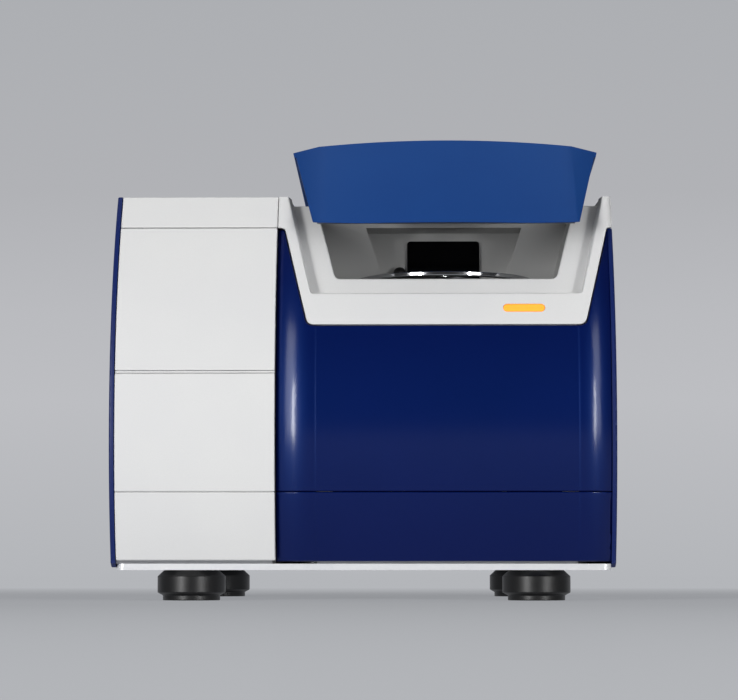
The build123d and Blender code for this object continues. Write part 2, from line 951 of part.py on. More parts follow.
def visor(inset, reach):
    # The bowed face with its two turned-back facets, drawn square to the leaning front.
    run, rise = pocket_lean()
    length = sqrt(run ** 2 + rise ** 2)
    middle_y = (front_at(pocket_bottom, 0) + front_at(body_top, 0)) / 2
    middle = (bay_x, middle_y, (pocket_bottom + body_top) / 2)
    plane = Plane(origin=middle, x_dir=(1, 0, 0), z_dir=(0, run / length, rise / length))
    crease = lid_crease_half - inset * 0.3
    face_n = 0.6 - inset
    far = bay_width * 0.6
    far_n = face_n - lid_facet_slope * (far - crease)
    sign = -1 if plane.y_dir.Y > 0 else 1
    bow = ThreePointArc((-crease, sign * face_n), (0, sign * (face_n + lid_bulge)), (crease, sign * face_n))
    rest = Polyline(
        (crease, sign * face_n),
        (far, sign * far_n),
        (far, -sign * reach),
        (-far, -sign * reach),
        (-far, sign * far_n),
        (-crease, sign * face_n),
    )
    outline = plane * make_face(bow + rest)
    return extrude(outline, body_depth, both=True)


def lid_envelope(inset):
    low = pocket_bottom - 30
    y0 = front_y - lid_ahead
    y1 = lid_rear - inset
    far = front_y + cut_behind
    under = pocket_depth - lid_rim_gap

    def plug_half(z, y):
        return pocket_half(z, y, lid_gap + inset)

    def cap_half(z, y):
        return valley_half(z, y, lid_gap + inset)

    plug = wedge(plug_half, low, lid_under + 3, y0, far)
    plug -= drum(under, -half_width, half_width)
    cap = wedge(cap_half, lid_under, body_top - inset, y0, y1)
    body = plug & block(-half_width, half_width, y0, far, low, lid_under + 0.01)
    return (body + cap) & visor(inset, body_depth)


def lid_bottom_cut(inset):
    # Everything under the lid's lower edge, level when the lid is raised.
    edge_z = pocket_bottom + 1.5 + inset
    edge_y = front_at(edge_z, 0)
    slab = Pos(0, 0, -lid_ahead) * Box(body_width, body_width, 2 * lid_ahead)
    return Pos(bay_x, edge_y, edge_z) * Rot(lid_open_angle, 0, 0) * slab


def make_lid_shell():
    outer = lid_envelope(0) - lid_bottom_cut(0)
    inner = lid_envelope(lid_wall) - lid_bottom_cut(lid_wall)
    return raise_lid(outer - inner)


def make_lid_liner():
    # Moulded lining: follows the curved front, then runs flat under the lid's top.
    inset = lid_wall + seat_gap
    space = lid_envelope(inset) - lid_bottom_cut(inset)
    below = liner_under + liner_wall
    full = block(-half_width, half_width, front_y - lid_ahead, rear_y, 0, below)
    outer = drum(liner_depth - liner_wall, -half_width, half_width) & full
    core = block(-half_width - 1, half_width + 1, front_y - lid_ahead, rear_y + 1, -1, liner_under)
    inner = drum(liner_depth, -half_width - 1, half_width + 1) & core
    return raise_lid(space & (outer - inner))


def make_lid_seal():
    # Rubber loop that meets the seat round the chamber mouth.
    def mouth(grow, low):
        return trapezoid(opening_half(low) + grow, opening_half(body_top) + grow, low, body_top)

    near = seal_margin
    far = seal_margin + seal_width
    y0 = front_y - cut_ahead
    y1 = chamber_back
    loop = front_prism(mouth(far, opening_bottom - far), y0, y1 + far)
    loop -= front_prism(mouth(near, opening_bottom - near), y0 - 1, y1 + near)
    front_band = drum(liner_depth, -half_width, half_width)
    front_band -= drum(liner_depth + seal_height, -half_width - 1, half_width + 1)
    front_band &= block(-half_width, half_width, y0, front_y + cut_behind, 0, liner_under)
    top_band = block(-half_width, half_width, y0, rear_y, liner_under - seal_height, liner_under)
    top_band &= drum(liner_depth, -half_width, half_width)
    return raise_lid(loop & (front_band + top_band))


def make_hinge_arm(side):
    middle = bay_x + side * hinge_spread
    x0 = middle - hinge_arm_wall / 2
    x1 = middle + hinge_arm_wall / 2
    web = [
        (hinge_y - hinge_boss_radius, hinge_z),
        (hinge_y + hinge_boss_radius, hinge_z),
        (hinge_y + 8, liner_under),
        (hinge_y - 8, liner_under),
    ]
    arm = rod_x(hinge_boss_radius, x0, x1, hinge_y, hinge_z) + side_prism(web, x0, x1)
    arm += block(x0 - 4, x1 + 4, hinge_y - 52, hinge_y + 8, liner_under - hinge_strap_wall, liner_under)
    arm -= rod_x(hinge_pin_radius + hinge_fit, x0 - 1, x1 + 1, hinge_y, hinge_z)
    return raise_lid(arm)


def make_hinge_block(side):
    near = hinge_spread + hinge_arm_wall / 2 + seat_gap + 0.1
    ends = sorted((bay_x + side * near, bay_x + side * (near + hinge_block_wall)))
    foot = 11.0
    web = [
        (hinge_y - hinge_boss_radius, hinge_z),
        (hinge_y - foot, hinge_bridge_top),
        (hinge_y + foot, hinge_bridge_top),
        (hinge_y + hinge_boss_radius, hinge_z),
    ]
    stand = side_prism(web, *ends) + rod_x(hinge_boss_radius, *ends, hinge_y, hinge_z)
    return stand - rod_x(hinge_pin_radius, ends[0] - 1, ends[1] + 1, hinge_y, hinge_z)


def make_hinge_pin():
    reach = hinge_spread + hinge_arm_wall / 2 + seat_gap + 0.1 + hinge_block_wall
    return rod_x(hinge_pin_radius, bay_x - reach, bay_x + reach, hinge_y, hinge_z)


def make_hinge_bridge():
    # Channel across the right bay that carries both hinge blocks.
    x0 = bay_wall_x + bay_wall + seat_gap
    x1 = side_inner - seat_gap
    top = hinge_bridge_top
    channel = block(x0, x1, hinge_y - 24, hinge_y + 24, top - 20, top)
    inside = block(
        x0 - 1, x1 + 1,
        hinge_y - 24 + hinge_bridge_wall, hinge_y + 24 - hinge_bridge_wall,
        top - 21, top - hinge_bridge_wall,
    )
    for spot in GridLocations(44, 0, 5, 1):
        inside += rod_z(9, bay_x + spot.position.X - 1, hinge_y, top - 10, top + 1)
    return channel - inside


# Optical bench

def make_optical_bench():
    plate = block(bench_left, bench_right, bench_front, bench_rear, bench_top - bench_wall, bench_top)
    skirt = block(bench_left, bench_right, bench_front, bench_rear, bench_top - bench_depth, bench_top)
    skirt -= block(
        bench_left + bench_rim, bench_right - bench_rim,
        bench_front + bench_rim, bench_rear - bench_rim,
        bench_top - bench_depth - 1, bench_top - bench_wall,
    )
    bench = plate + skirt
    for count in range(3):
        y = bench_front + (count + 1) * (bench_rear - bench_front) / 4
        bench += block(bench_left, bench_right, y - 2.5, y + 2.5, bench_top - bench_depth, bench_top)
    bench = fillet(bench.edges().filter_by(Axis.Z).group_by(Axis.X)[0], 5)
    inset = bench_leg_radius + 3
    for x in (bench_left + inset, bench_right - inset):
        for y in (bench_front + inset, bench_rear - inset):
            bench += rod_z(bench_leg_radius, x, y, base_top, bench_top - bench_wall)
    return bench


def make_mirror_block():
    # Right-angle mirror under the light tube, between two cheeks.
    y0 = table_y - block_half
    y1 = table_y + block_half
    low = bench_top + 4
    wedge_points = [(y0, bench_top), (y1, bench_top), (y1, low), (y0, low + 2 * block_half)]
    body = side_prism(wedge_points, beam_x - block_half, beam_x + block_half)
    for side in (-1, 1):
        ends = sorted((beam_x + side * (block_half - 5), beam_x + side * block_half))
        body += block(*ends, y0, y1, bench_top, tube_low)
    return body


def make_light_tube():
    top = chamber_floor - chamber_wall
    tube = rod_z(tube_radius, beam_x, table_y, tube_low, top)
    tube += rod_z(block_half - 1, beam_x, table_y, tube_low, tube_low + 3)
    return tube - rod_z(tube_radius - tube_wall, beam_x, table_y, tube_low - 1, top + 1)


def make_monochromator_box():
    outer = block(mono_left, mono_right, mono_front, mono_rear, bench_top, mono_top)
    outer = fillet(outer.edges().filter_by(Axis.Z), 6)
    space = block(
        mono_left + mono_wall, mono_right - mono_wall,
        mono_front + mono_wall, mono_rear - mono_wall,
        bench_top + mono_wall, mono_top + 1,
    )
    space = fillet(space.edges().filter_by(Axis.Z), 3)
    beam_z = bench_top + 4 + block_half
    snout = rod_y(tube_radius, beam_x, mono_front - 18, mono_front + 1, beam_z)
    bore = rod_y(tube_radius - tube_wall, beam_x, mono_front - 20, mono_front + mono_wall + 1, beam_z)
    return outer + snout - space - bore


def make_monochromator_cover():
    cover = block(mono_left, mono_right, mono_front, mono_rear, mono_top, mono_top + mono_cover_wall)
    cover = fillet(cover.edges().filter_by(Axis.Z), 6)
    bore_radius = grating_shaft_radius + spindle_fit
    return cover - rod_z(bore_radius, grating_x, grating_y, mono_top - 1, mono_top + 5)


def make_grating_mount():
    low = bench_top + mono_wall + seat_gap
    shaft = rod_z(grating_shaft_radius, grating_x, grating_y, low, mono_top + mono_cover_wall + 6)
    holder = block(
        grating_x - grating_size / 2, grating_x + grating_size / 2,
        grating_y - 7, grating_y + 7,
        low + 8, low + 8 + grating_size,
    )
    holder -= block(
        grating_x - grating_size / 2 + 4, grating_x + grating_size / 2 - 4,
        grating_y - 8, grating_y - grating_shaft_radius,
        low + 12, low + 4 + grating_size,
    )
    return shaft + holder


def make_scan_motor():
    low = mono_top + mono_cover_wall
    body = rod_z(scan_motor_radius, grating_x, grating_y, low, low + scan_motor_height)
    body = fillet(body.edges().sort_by(Axis.Z)[-1], 3)
    bore_radius = grating_shaft_radius + spindle_fit
    return body - rod_z(bore_radius, grating_x, grating_y, low - 1, low + 6 + seat_gap)


def make_lamp_housing():
    right = lamp_left + lamp_size
    rear = lamp_front + lamp_length
    core = block(lamp_left + 7, right - 7, lamp_front, rear, bench_top, lamp_top)
    for count in range(lamp_fins):
        y = lamp_front + 1.5 + count * (lamp_length - 3) / (lamp_fins - 1)
        core += block(lamp_left, right, y - 1.5, y + 1.5, bench_top, lamp_top)
    return core


# Electronics

def make_power_supply():
    case = block(supply_left, supply_right, supply_front, supply_rear, base_top, supply_top)
    case = fillet(case.edges().filter_by(Axis.Z), 2)
    middle = (supply_left + supply_right) / 2
    slots = int((supply_rear - supply_front) / supply_slot_pitch) - 5
    for spot in GridLocations(0, supply_slot_pitch, 1, slots):
        place = Pos(middle, (supply_front + supply_rear) / 2 + spot.position.Y, supply_top - 2)
        case -= place * slotted(supply_right - supply_left - 20, 5, 3)
    return case


def make_main_board():
    left = bay_wall_x - board_stand - board_wall
    right = bay_wall_x - board_stand
    board = block(left, right, board_front, rear_inner - panel_gap, board_low, board_top)
    for y in (board_front + 8, (board_front + rear_inner) / 2, rear_inner - 12):
        for z in (board_low + 8, board_top - 8):
            board += rod_x(3, right, bay_wall_x, y, z)
    for z in port_heights():
        face = rear_y - port_depth
        port = block(port_left, left, face, rear_y, z, z + port_height)
        port -= block(port_left + 2, left - 2, face + 4, rear_y + 1, z + 2, z + port_height - 2)
        board += port
    sink = block(left - 3, left, board_front + 30, board_front + 90, board_low + 40, board_low + 100)
    for count in range(8):
        z = board_low + 41.5 + count * 57 / 7
        sink += block(left - 16, left - 3, board_front + 30, board_front + 90, z - 1.5, z + 1.5)
    return board + sink


# Fan

def make_fan_frame():
    y0 = rear_inner - fan_wall
    half = fan_size / 2
    frame = block(fan_x - half, fan_x + half, y0, rear_inner, fan_z - half, fan_z + half)
    frame = fillet(frame.edges().filter_by(Axis.Y), 5)
    frame -= rod_y(fan_bore, fan_x, y0 - 1, rear_inner + 1, fan_z)
    for x in (-1, 1):
        for z in (-1, 1):
            frame -= rod_y(2.2, fan_x + x * (half - 5), y0 - 1, rear_inner + 1, fan_z + z * (half - 5))
    for turn in (90, 210, 330):
        arm = Pos(fan_bore / 2 + 1, y0 + 2, 0) * Box(fan_bore, 4, 5)
        frame += Pos(fan_x, 0, fan_z) * Rot(0, turn, 0) * arm
    frame += rod_y(fan_hub_radius, fan_x, y0, y0 + 4, fan_z)
    return frame + rod_y(fan_shaft_radius, fan_x, y0 + 4, rear_inner - 6, fan_z)


def fan_blade():
    sections = []
    ends = ((fan_hub_radius - 1, 15, 48, 1.8), (fan_bore - 1.6, 19, 30, 1.2))
    for radius, chord, pitch, wall in ends:
        plane = Plane(origin=(radius, 0, 0), x_dir=(0, 1, 0), z_dir=(1, 0, 0))
        sections.append(plane * (Rot(0, 0, pitch) * Rectangle(chord, wall)))
    return loft(sections)


def make_fan_rotor():
    length = fan_wall - 4 - 4.5
    rotor = Cylinder(fan_hub_radius, length)
    rotor = fillet(rotor.edges().sort_by(Axis.Z)[0], 2)
    for count in range(fan_blades):
        rotor += Rot(0, 0, count * 360 / fan_blades) * fan_blade()
    rotor &= Cylinder(fan_bore - fan_clearance, length)
    bore_depth = length - 1.5
    bore = Cylinder(fan_shaft_radius + spindle_fit, bore_depth)
    rotor -= Pos(0, 0, (length - bore_depth) / 2 + 0.01) * bore
    middle = rear_inner - fan_wall + 4.4 + length / 2
    return Pos(fan_x, middle, fan_z) * Rot(90, 0, 0) * rotor


# Power inlet with its switch

def module_box(grow, y0, y1):
    middle = inlet_z + switch_rise / 2
    return block(
        inlet_x - module_width / 2 - grow, inlet_x + module_width / 2 + grow,
        y0, y1,
        middle - module_height / 2 - grow, middle + module_height / 2 + grow,
    )


def make_power_inlet():
    module = module_box(-seat_gap, rear_y - inlet_depth, rear_y)
    flange = module_box(4, rear_y, rear_y + inlet_flange)
    module += fillet(flange.edges().filter_by(Axis.Y), 3)
    face = rear_y + inlet_flange
    socket = block(
        inlet_x - inlet_width / 2 + 1.5, inlet_x + inlet_width / 2 - 1.5,
        face - 17, face + 1,
        inlet_z - inlet_height / 2 + 1, inlet_z + inlet_height / 2 - 1,
    )
    socket = chamfer(socket.edges().filter_by(Axis.Y).group_by(Axis.Z)[-1], 4)
    module -= socket
    for x, z in ((-7, -3), (7, -3), (0, 2)):
        blade_x = inlet_x + x
        blade_z = inlet_z + z
        module += block(blade_x - 1, blade_x + 1, face - 18, face - 3, blade_z - 2, blade_z + 2)
    switch_z = inlet_z + switch_rise
    module -= block(
        inlet_x - rocker_width / 2 - 0.5, inlet_x + rocker_width / 2 + 0.5,
        face - 16, face + 1,
        switch_z - rocker_height / 2 - 3, switch_z + rocker_height / 2 + 3,
    )
    pivot_y = rear_y - rocker_depth
    pin = rod_x(rocker_pin_radius, inlet_x - rocker_width, inlet_x + rocker_width, pivot_y, switch_z)
    return module + pin


def make_power_rocker():
    switch_z = inlet_z + switch_rise
    half = rocker_height / 2
    profile = [
        (-3.5, -3.5),
        (-3.5, 3.5),
        (0, half),
        (6.2, half + 0.6),
        (4.4, 0),
        (6.2, -half - 0.6),
        (0, -half),
    ]
    outline = make_face(Polyline(*profile, close=True))
    body = extrude(Plane.YZ.offset(-rocker_width / 2) * outline, rocker_width)
    body -= Rot(0, 90, 0) * Cylinder(rocker_pin_radius + 0.05, rocker_width + 2)
    return Pos(inlet_x, rear_y - rocker_depth, switch_z) * Rot(rocker_tilt, 0, 0) * body


def make_all():
    nodes = {}
    nodes["base_plate"] = make_base_plate()
    for number, place in enumerate(foot_places()):
        nodes["foot_" + str(number + 1)] = make_foot(*place)
    nodes["left_side_cover"] = make_side_cover(-1)
    nodes["right_side_cover"] = make_side_cover(1)
    nodes["rear_panel"] = make_rear_panel()
    nodes["top_cover"] = make_top_cover()
    nodes["bay_wall"] = make_bay_wall()
    left_frame_edge = -side_inner + seat_gap
    nodes["left_front_frame"] = make_front_frame(
        left_frame_edge, bay_wall_x - seat_gap, body_top - top_wall - seat_gap, 3
    )
    nodes["right_front_frame"] = make_front_frame(
        left_crease + panel_gap, right_crease - panel_gap, bezel_bottom + bezel_corner, 2
    )
    nodes["left_top_strip"] = make_left_panel(cap_seam + panel_gap / 2, body_top)
    nodes["left_upper_panel"] = make_left_panel(trim_bottom + trim_height, cap_seam - panel_gap / 2)
    nodes["left_trim_strip"] = make_trim_strip()
    nodes["left_middle_panel"] = make_left_panel(kick_seam + panel_gap / 2, trim_bottom)
    nodes["left_kick_panel"] = make_left_panel(panel_bottom, kick_seam - panel_gap / 2)
    nodes["right_front_panel"] = make_right_panel()
    nodes["right_kick_panel"] = make_right_kick_panel()
    nodes["front_bezel"] = make_front_bezel()
    nodes["status_lens"] = make_status_lens()
    nodes["seat_flange"] = make_seat_flange()
    nodes["chamber_tub"] = make_chamber_tub()
    nodes["chamber_recess"] = make_chamber_recess()
    nodes["sensor_window"] = make_sensor_window()
    nodes["cup_sensor"] = make_cup_sensor()
    nodes["floor_window"] = make_floor_window()
    nodes["window_ring"] = make_window_ring()
    nodes["turntable_disc"] = make_turntable_disc()
    nodes["turntable_rim"] = make_turntable_rim()
    nodes["spindle"] = make_spindle()
    nodes["spindle_bearing"] = make_bearing()
    nodes["ring_gear"] = make_ring_gear()
    nodes["pinion"] = make_pinion()
    nodes["drive_motor"] = make_drive_motor()
    nodes["drive_plate"] = make_drive_plate()
    nodes["lid_shell"] = make_lid_shell()
    nodes["lid_liner"] = make_lid_liner()
    nodes["lid_seal"] = make_lid_seal()
    for name, side in (("left", -1), ("right", 1)):
        nodes[name + "_hinge_arm"] = make_hinge_arm(side)
        nodes[name + "_hinge_block"] = make_hinge_block(side)
    nodes["hinge_pin"] = make_hinge_pin()
    nodes["hinge_bridge"] = make_hinge_bridge()
    nodes["optical_bench"] = make_optical_bench()
    nodes["mirror_block"] = make_mirror_block()
    nodes["light_tube"] = make_light_tube()
    nodes["monochromator_box"] = make_monochromator_box()
    nodes["monochromator_cover"] = make_monochromator_cover()
    nodes["grating_mount"] = make_grating_mount()
    nodes["scan_motor"] = make_scan_motor()
    nodes["lamp_housing"] = make_lamp_housing()
    nodes["power_supply"] = make_power_supply()
    nodes["main_board"] = make_main_board()
    nodes["fan_frame"] = make_fan_frame()
    nodes["fan_rotor"] = make_fan_rotor()
    nodes["power_inlet"] = make_power_inlet()
    nodes["power_rocker"] = make_power_rocker()
    return nodes


os.makedirs("parts", exist_ok=True)
for name, solid in make_all().items():
    export_step(solid, "parts/" + name + ".step")
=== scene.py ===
import bpy
import bmesh
import json
import math
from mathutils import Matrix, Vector


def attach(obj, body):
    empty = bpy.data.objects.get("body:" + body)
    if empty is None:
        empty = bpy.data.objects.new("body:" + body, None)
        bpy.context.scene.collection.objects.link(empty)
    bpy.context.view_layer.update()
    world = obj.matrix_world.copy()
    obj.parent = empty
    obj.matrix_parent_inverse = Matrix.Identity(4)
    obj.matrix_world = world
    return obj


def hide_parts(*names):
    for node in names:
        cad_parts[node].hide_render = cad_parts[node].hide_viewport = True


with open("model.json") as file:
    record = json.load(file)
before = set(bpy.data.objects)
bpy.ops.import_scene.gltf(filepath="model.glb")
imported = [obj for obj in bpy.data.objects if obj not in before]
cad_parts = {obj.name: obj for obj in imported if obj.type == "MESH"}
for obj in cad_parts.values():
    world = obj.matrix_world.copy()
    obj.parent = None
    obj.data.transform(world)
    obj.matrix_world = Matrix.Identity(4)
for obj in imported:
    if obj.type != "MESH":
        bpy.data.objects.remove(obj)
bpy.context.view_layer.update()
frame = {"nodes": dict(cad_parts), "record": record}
nodes = frame["nodes"]
mm = 0.001
print("frame loaded,", len(nodes), "nodes")


# Camera: a long lens close to the table, tilted up as in the photograph

view = {"lens": 131.9, "place": (0.0325, -2.2300, 0.0226), "pitch": 4.65, "turn": 0.809}

cameraData = bpy.data.cameras.new("camera")
cameraData.lens = view["lens"]
cameraData.sensor_width = 36
cameraData.clip_end = 60
camera = bpy.data.objects.new("camera", cameraData)
camera.location = view["place"]
camera.rotation_euler = (math.radians(90 + view["pitch"]), 0, math.radians(view["turn"]))
bpy.context.scene.collection.objects.link(camera)
bpy.context.scene.camera = camera
bpy.context.scene.view_settings.view_transform = "Standard"


# Shader building

def linear(hexCode):
    channels = [int(hexCode[i:i + 2], 16) / 255 for i in (1, 3, 5)]
    return tuple(c / 12.92 if c <= 0.04045 else ((c + 0.055) / 1.055) ** 2.4 for c in channels) + (1.0,)


def addNode(tree, kind, sockets=None, **settings):
    node = tree.nodes.new(kind)
    for name, value in settings.items():
        setattr(node, name, value)
    for key, value in (sockets or {}).items():
        if isinstance(value, bpy.types.NodeSocket):
            tree.links.new(value, node.inputs[key])
        else:
            node.inputs[key].default_value = value
    return node


def makeFinish(name, look):
    # grain and cloud are pattern sizes in mm, relief is the bump height in mm
    material = bpy.data.materials.new(name)
    material.use_nodes = True
    tree = material.node_tree
    tree.nodes.clear()
    place = addNode(tree, "ShaderNodeTexCoord").outputs["Object"]
    drawn = addNode(tree, "ShaderNodeMapping", {"Vector": place, "Scale": look.get("stretch", (1, 1, 1))})
    fine = addNode(tree, "ShaderNodeTexNoise", {
        "Vector": drawn.outputs[0], "Scale": 1 / (look["grain"] * mm), "Detail": 3.0, "Roughness": 0.6})
    broad = addNode(tree, "ShaderNodeTexNoise", {
        "Vector": place, "Scale": 1 / (look.get("cloud", 70) * mm), "Detail": 2.0})
    fineShare = addNode(tree, "ShaderNodeMapRange", {
        "Value": fine.outputs["Fac"], "From Min": 0.3, "From Max": 0.7})
    broadShare = addNode(tree, "ShaderNodeMapRange", {
        "Value": broad.outputs["Fac"], "From Min": 0.35, "From Max": 0.65})
    tint = addNode(tree, "ShaderNodeMix", {
        "Factor": broadShare.outputs[0], 6: linear(look["base"]), 7: linear(look["cloudTint"])},
        data_type="RGBA")
    colour = addNode(tree, "ShaderNodeMix", {
        "Factor": fineShare.outputs[0], 6: tint.outputs[2], 7: linear(look["grainTint"])},
        data_type="RGBA")
    keep = addNode(tree, "ShaderNodeMix", {
        "Factor": look.get("grainMix", 0.3), 6: tint.outputs[2], 7: colour.outputs[2]}, data_type="RGBA")
    spread = look.get("roughSpread", 0.05)
    gloss = addNode(tree, "ShaderNodeMapRange", {
        "Value": fineShare.outputs[0], "To Min": look["rough"] - spread, "To Max": look["rough"] + spread})
    bump = addNode(tree, "ShaderNodeBump", {
        "Height": fine.outputs["Fac"], "Distance": look.get("relief", 0.02) * mm, "Strength": 1.0})
    shader = addNode(tree, "ShaderNodeBsdfPrincipled", {
        "Base Color": keep.outputs[2], "Roughness": gloss.outputs[0], "Normal": bump.outputs[0],
        "Metallic": look.get("metallic", 0.0), "Coat Weight": look.get("coat", 0.0),
        "Coat Roughness": look.get("coatRough", 0.1), "Transmission Weight": look.get("clear", 0.0),
        "Specular IOR Level": look.get("specular", 0.5)})
    if "specularTint" in look:
        shader.inputs["Specular Tint"].default_value = linear(look["specularTint"])
    if "glow" in look:
        shader.inputs["Emission Color"].default_value = linear(look["glowTint"])
        shader.inputs["Emission Strength"].default_value = look["glow"]
    addNode(tree, "ShaderNodeOutputMaterial", {"Surface": shader.outputs[0]})
    return material


finishes = {
    # moulded ABS with navy satin lacquer: deep even blue, soft wide highlights on the rolled columns
    "blue_shell": ("lacquered_abs_navy", {
        "base": "#010A42", "cloudTint": "#020B45", "grainTint": "#051052", "grain": 0.9, "grainMix": 0.2,
        "rough": 0.45, "roughSpread": 0.03, "relief": 0.005, "specularTint": "#2E80FF", "specular": 0.6,
        "coat": 0.5, "coatRough": 0.175}),
    # powder coated sheet steel, navy: the same blue with the coat's fine orange peel
    "blue_cover": ("powder_coat_navy", {
        "base": "#0A1F5C", "cloudTint": "#0B2160", "grainTint": "#112A6A", "grain": 1.3, "grainMix": 0.3,
        "rough": 0.42, "relief": 0.02, "specular": 0.35}),
    # moulded ABS lid with satin lacquer, its blue painted brighter than the front panels' as painted light
    # from above on the leaning lid
    "blue_lid": ("lacquered_abs_blue_painted_lit", {
        "base": "#0A3C80", "cloudTint": "#0C3F83", "grainTint": "#12488E", "grain": 0.9, "grainMix": 0.2,
        "rough": 0.42, "roughSpread": 0.03, "relief": 0.006, "specular": 0.3, "specularTint": "#5AA2FF"}),
    # moulded ABS, spark-eroded mould: off-white with a fine dull texture
    "white_shell": ("textured_abs_white", {
        "base": "#E9E9E8", "cloudTint": "#E6E6E6", "grainTint": "#DEDEDD", "grain": 0.7, "grainMix": 0.35,
        "rough": 0.5, "relief": 0.012}),
    # zinc plated sheet steel, bright passivated: near white metal with faint blotches
    "base_metal": ("zinc_plated_steel", {
        "base": "#F0F2F3", "cloudTint": "#E9EBEE", "grainTint": "#F6F4F6", "grain": 2.4, "grainMix": 0.4,
        "rough": 0.34, "metallic": 0.2, "relief": 0.004, "cloud": 25}),
    # powder coated sheet steel, mid grey
    "rear_metal": ("powder_coat_grey", {
        "base": "#A3A5A8", "cloudTint": "#9FA1A4", "grainTint": "#8E9093", "grain": 1.3, "grainMix": 0.4,
        "rough": 0.48, "relief": 0.025}),
    # moulded ABS, light grey: the seat that the lid closes on
    "seat_plastic": ("moulded_abs_light_grey", {
        "base": "#E2E2E1", "cloudTint": "#DFDFDE", "grainTint": "#D6D6D5", "grain": 0.7, "grainMix": 0.35,
        "rough": 0.46, "relief": 0.01}),
    # bead-blasted stainless steel sheet: grey metal with a soft broad shine
    "chamber_metal": ("blasted_stainless", {
        "base": "#BDBDBC", "cloudTint": "#B4B4B3", "grainTint": "#CBCBC9", "grain": 0.5, "grainMix": 0.5,
        "rough": 0.4, "metallic": 0.35, "relief": 0.012}),
    # polished black filter glass
    "black_window": ("black_filter_glass", {
        "base": "#040405", "cloudTint": "#060608", "grainTint": "#080809", "grain": 6, "rough": 0.06,
        "roughSpread": 0.02, "relief": 0.001, "specular": 0.2}),
    # moulded glass-filled nylon, black
    "black_plastic": ("moulded_nylon_black", {
        "base": "#141415", "cloudTint": "#171718", "grainTint": "#202022", "grain": 0.6, "grainMix": 0.5,
        "rough": 0.5, "relief": 0.02}),
    # ground and polished fused silica
    "optical_glass": ("fused_silica", {
        "base": "#E8EEF0", "cloudTint": "#E4ECEE", "grainTint": "#F0F4F5", "grain": 8, "rough": 0.05,
        "roughSpread": 0.02, "clear": 0.9, "relief": 0.0}),
    # black anodised aluminium, turned: fine rings are left to the polish
    "table_black": ("black_anodised_aluminium", {
        "base": "#1B1B1D", "cloudTint": "#202022", "grainTint": "#2C2C2F", "grain": 0.5, "grainMix": 0.4,
        "rough": 0.32, "metallic": 0.6, "relief": 0.006}),
    # chrome plated brass, polished
    "chrome_trim": ("polished_chrome", {
        "base": "#D8D9DB", "cloudTint": "#D4D5D8", "grainTint": "#E2E3E5", "grain": 3, "rough": 0.1,
        "roughSpread": 0.03, "metallic": 1.0, "relief": 0.001}),
    # ground silver steel
    "shaft_steel": ("ground_steel", {
        "base": "#A9AAAD", "cloudTint": "#A2A3A7", "grainTint": "#BDBEC0", "grain": 0.5, "grainMix": 0.5,
        "stretch": (0.06, 1, 1), "rough": 0.28, "metallic": 1.0, "relief": 0.003}),
    # moulded nitrile rubber, slightly shiny from the mould
    "foot_rubber": ("moulded_rubber_black", {
        "base": "#0C0C0D", "cloudTint": "#101011", "grainTint": "#191919", "grain": 0.8, "grainMix": 0.5,
        "rough": 0.38, "relief": 0.02}),
    # extruded silicone rubber
    "seal_rubber": ("silicone_rubber_grey", {
        "base": "#2A2A2C", "cloudTint": "#2E2E30", "grainTint": "#363638", "grain": 0.7, "grainMix": 0.4,
        "rough": 0.6, "relief": 0.015}),
    # milky polycarbonate lit from behind by amber diodes
    "light_amber": ("lit_polycarbonate_amber", {
        "base": "#FFB040", "cloudTint": "#FFA830", "grainTint": "#FFC060", "grain": 2, "rough": 0.35,
        "relief": 0.004, "glow": 0.55, "glowTint": "#FF9A1E"}),
    # moulded ABS, mid grey: the lid's lining
    "liner_plastic": ("moulded_abs_mid_grey", {
        "base": "#84868A", "cloudTint": "#808286", "grainTint": "#74767A", "grain": 0.7, "grainMix": 0.4,
        "rough": 0.5, "relief": 0.012}),
    # cold rolled aluminium sheet: faint lines along the rolling direction
    "frame_metal": ("rolled_aluminium", {
        "base": "#B4B5B7", "cloudTint": "#ACADB0", "grainTint": "#C4C5C7", "grain": 0.6, "grainMix": 0.5,
        "stretch": (0.05, 1, 1), "rough": 0.4, "metallic": 0.9, "relief": 0.006}),
    # sand cast aluminium: coarse dull skin
    "cast_metal": ("sand_cast_aluminium", {
        "base": "#96979A", "cloudTint": "#8A8B8E", "grainTint": "#A8A9AB", "grain": 1.4, "grainMix": 0.6,
        "rough": 0.55, "metallic": 0.75, "relief": 0.12}),
    # machined acetal: waxy off-white
    "gear_plastic": ("machined_acetal", {
        "base": "#E6E3D8", "cloudTint": "#E2DFD3", "grainTint": "#D8D5C8", "grain": 0.6, "grainMix": 0.3,
        "rough": 0.35, "relief": 0.008}),
    # machined brass
    "gear_brass": ("machined_brass", {
        "base": "#C8A050", "cloudTint": "#C09848", "grainTint": "#D8B468", "grain": 0.5, "grainMix": 0.4,
        "rough": 0.25, "metallic": 1.0, "relief": 0.004}),
    # stoved black enamel on steel
    "motor_metal": ("black_enamel", {
        "base": "#161617", "cloudTint": "#1A1A1B", "grainTint": "#222223", "grain": 1.0, "grainMix": 0.4,
        "rough": 0.3, "relief": 0.01}),
    # epoxy glass laminate with green solder mask
    "board_green": ("solder_mask_green", {
        "base": "#0E5A38", "cloudTint": "#0C5232", "grainTint": "#1A6B46", "grain": 1.5, "grainMix": 0.5,
        "rough": 0.3, "relief": 0.02}),
}
materials = {slotName: makeFinish(*row) for slotName, row in finishes.items()}
print("finishes made:", len(materials))

slotOf = {row["node"]: row["material_slot"] for row in frame["record"]["subparts"]}
for nodeName, node in nodes.items():
    for index in range(len(node.material_slots)):
        node.material_slots[index].material = materials[slotOf[nodeName]]


# The curved front: a drum round a level axis, in mm

drum = {"radius": 300.0, "y": 57.2, "z": 135.0}
bayX = 61.7


def frontAt(z, depth):
    return drum["y"] - math.sqrt((drum["radius"] - depth) ** 2 - (z - drum["z"]) ** 2)


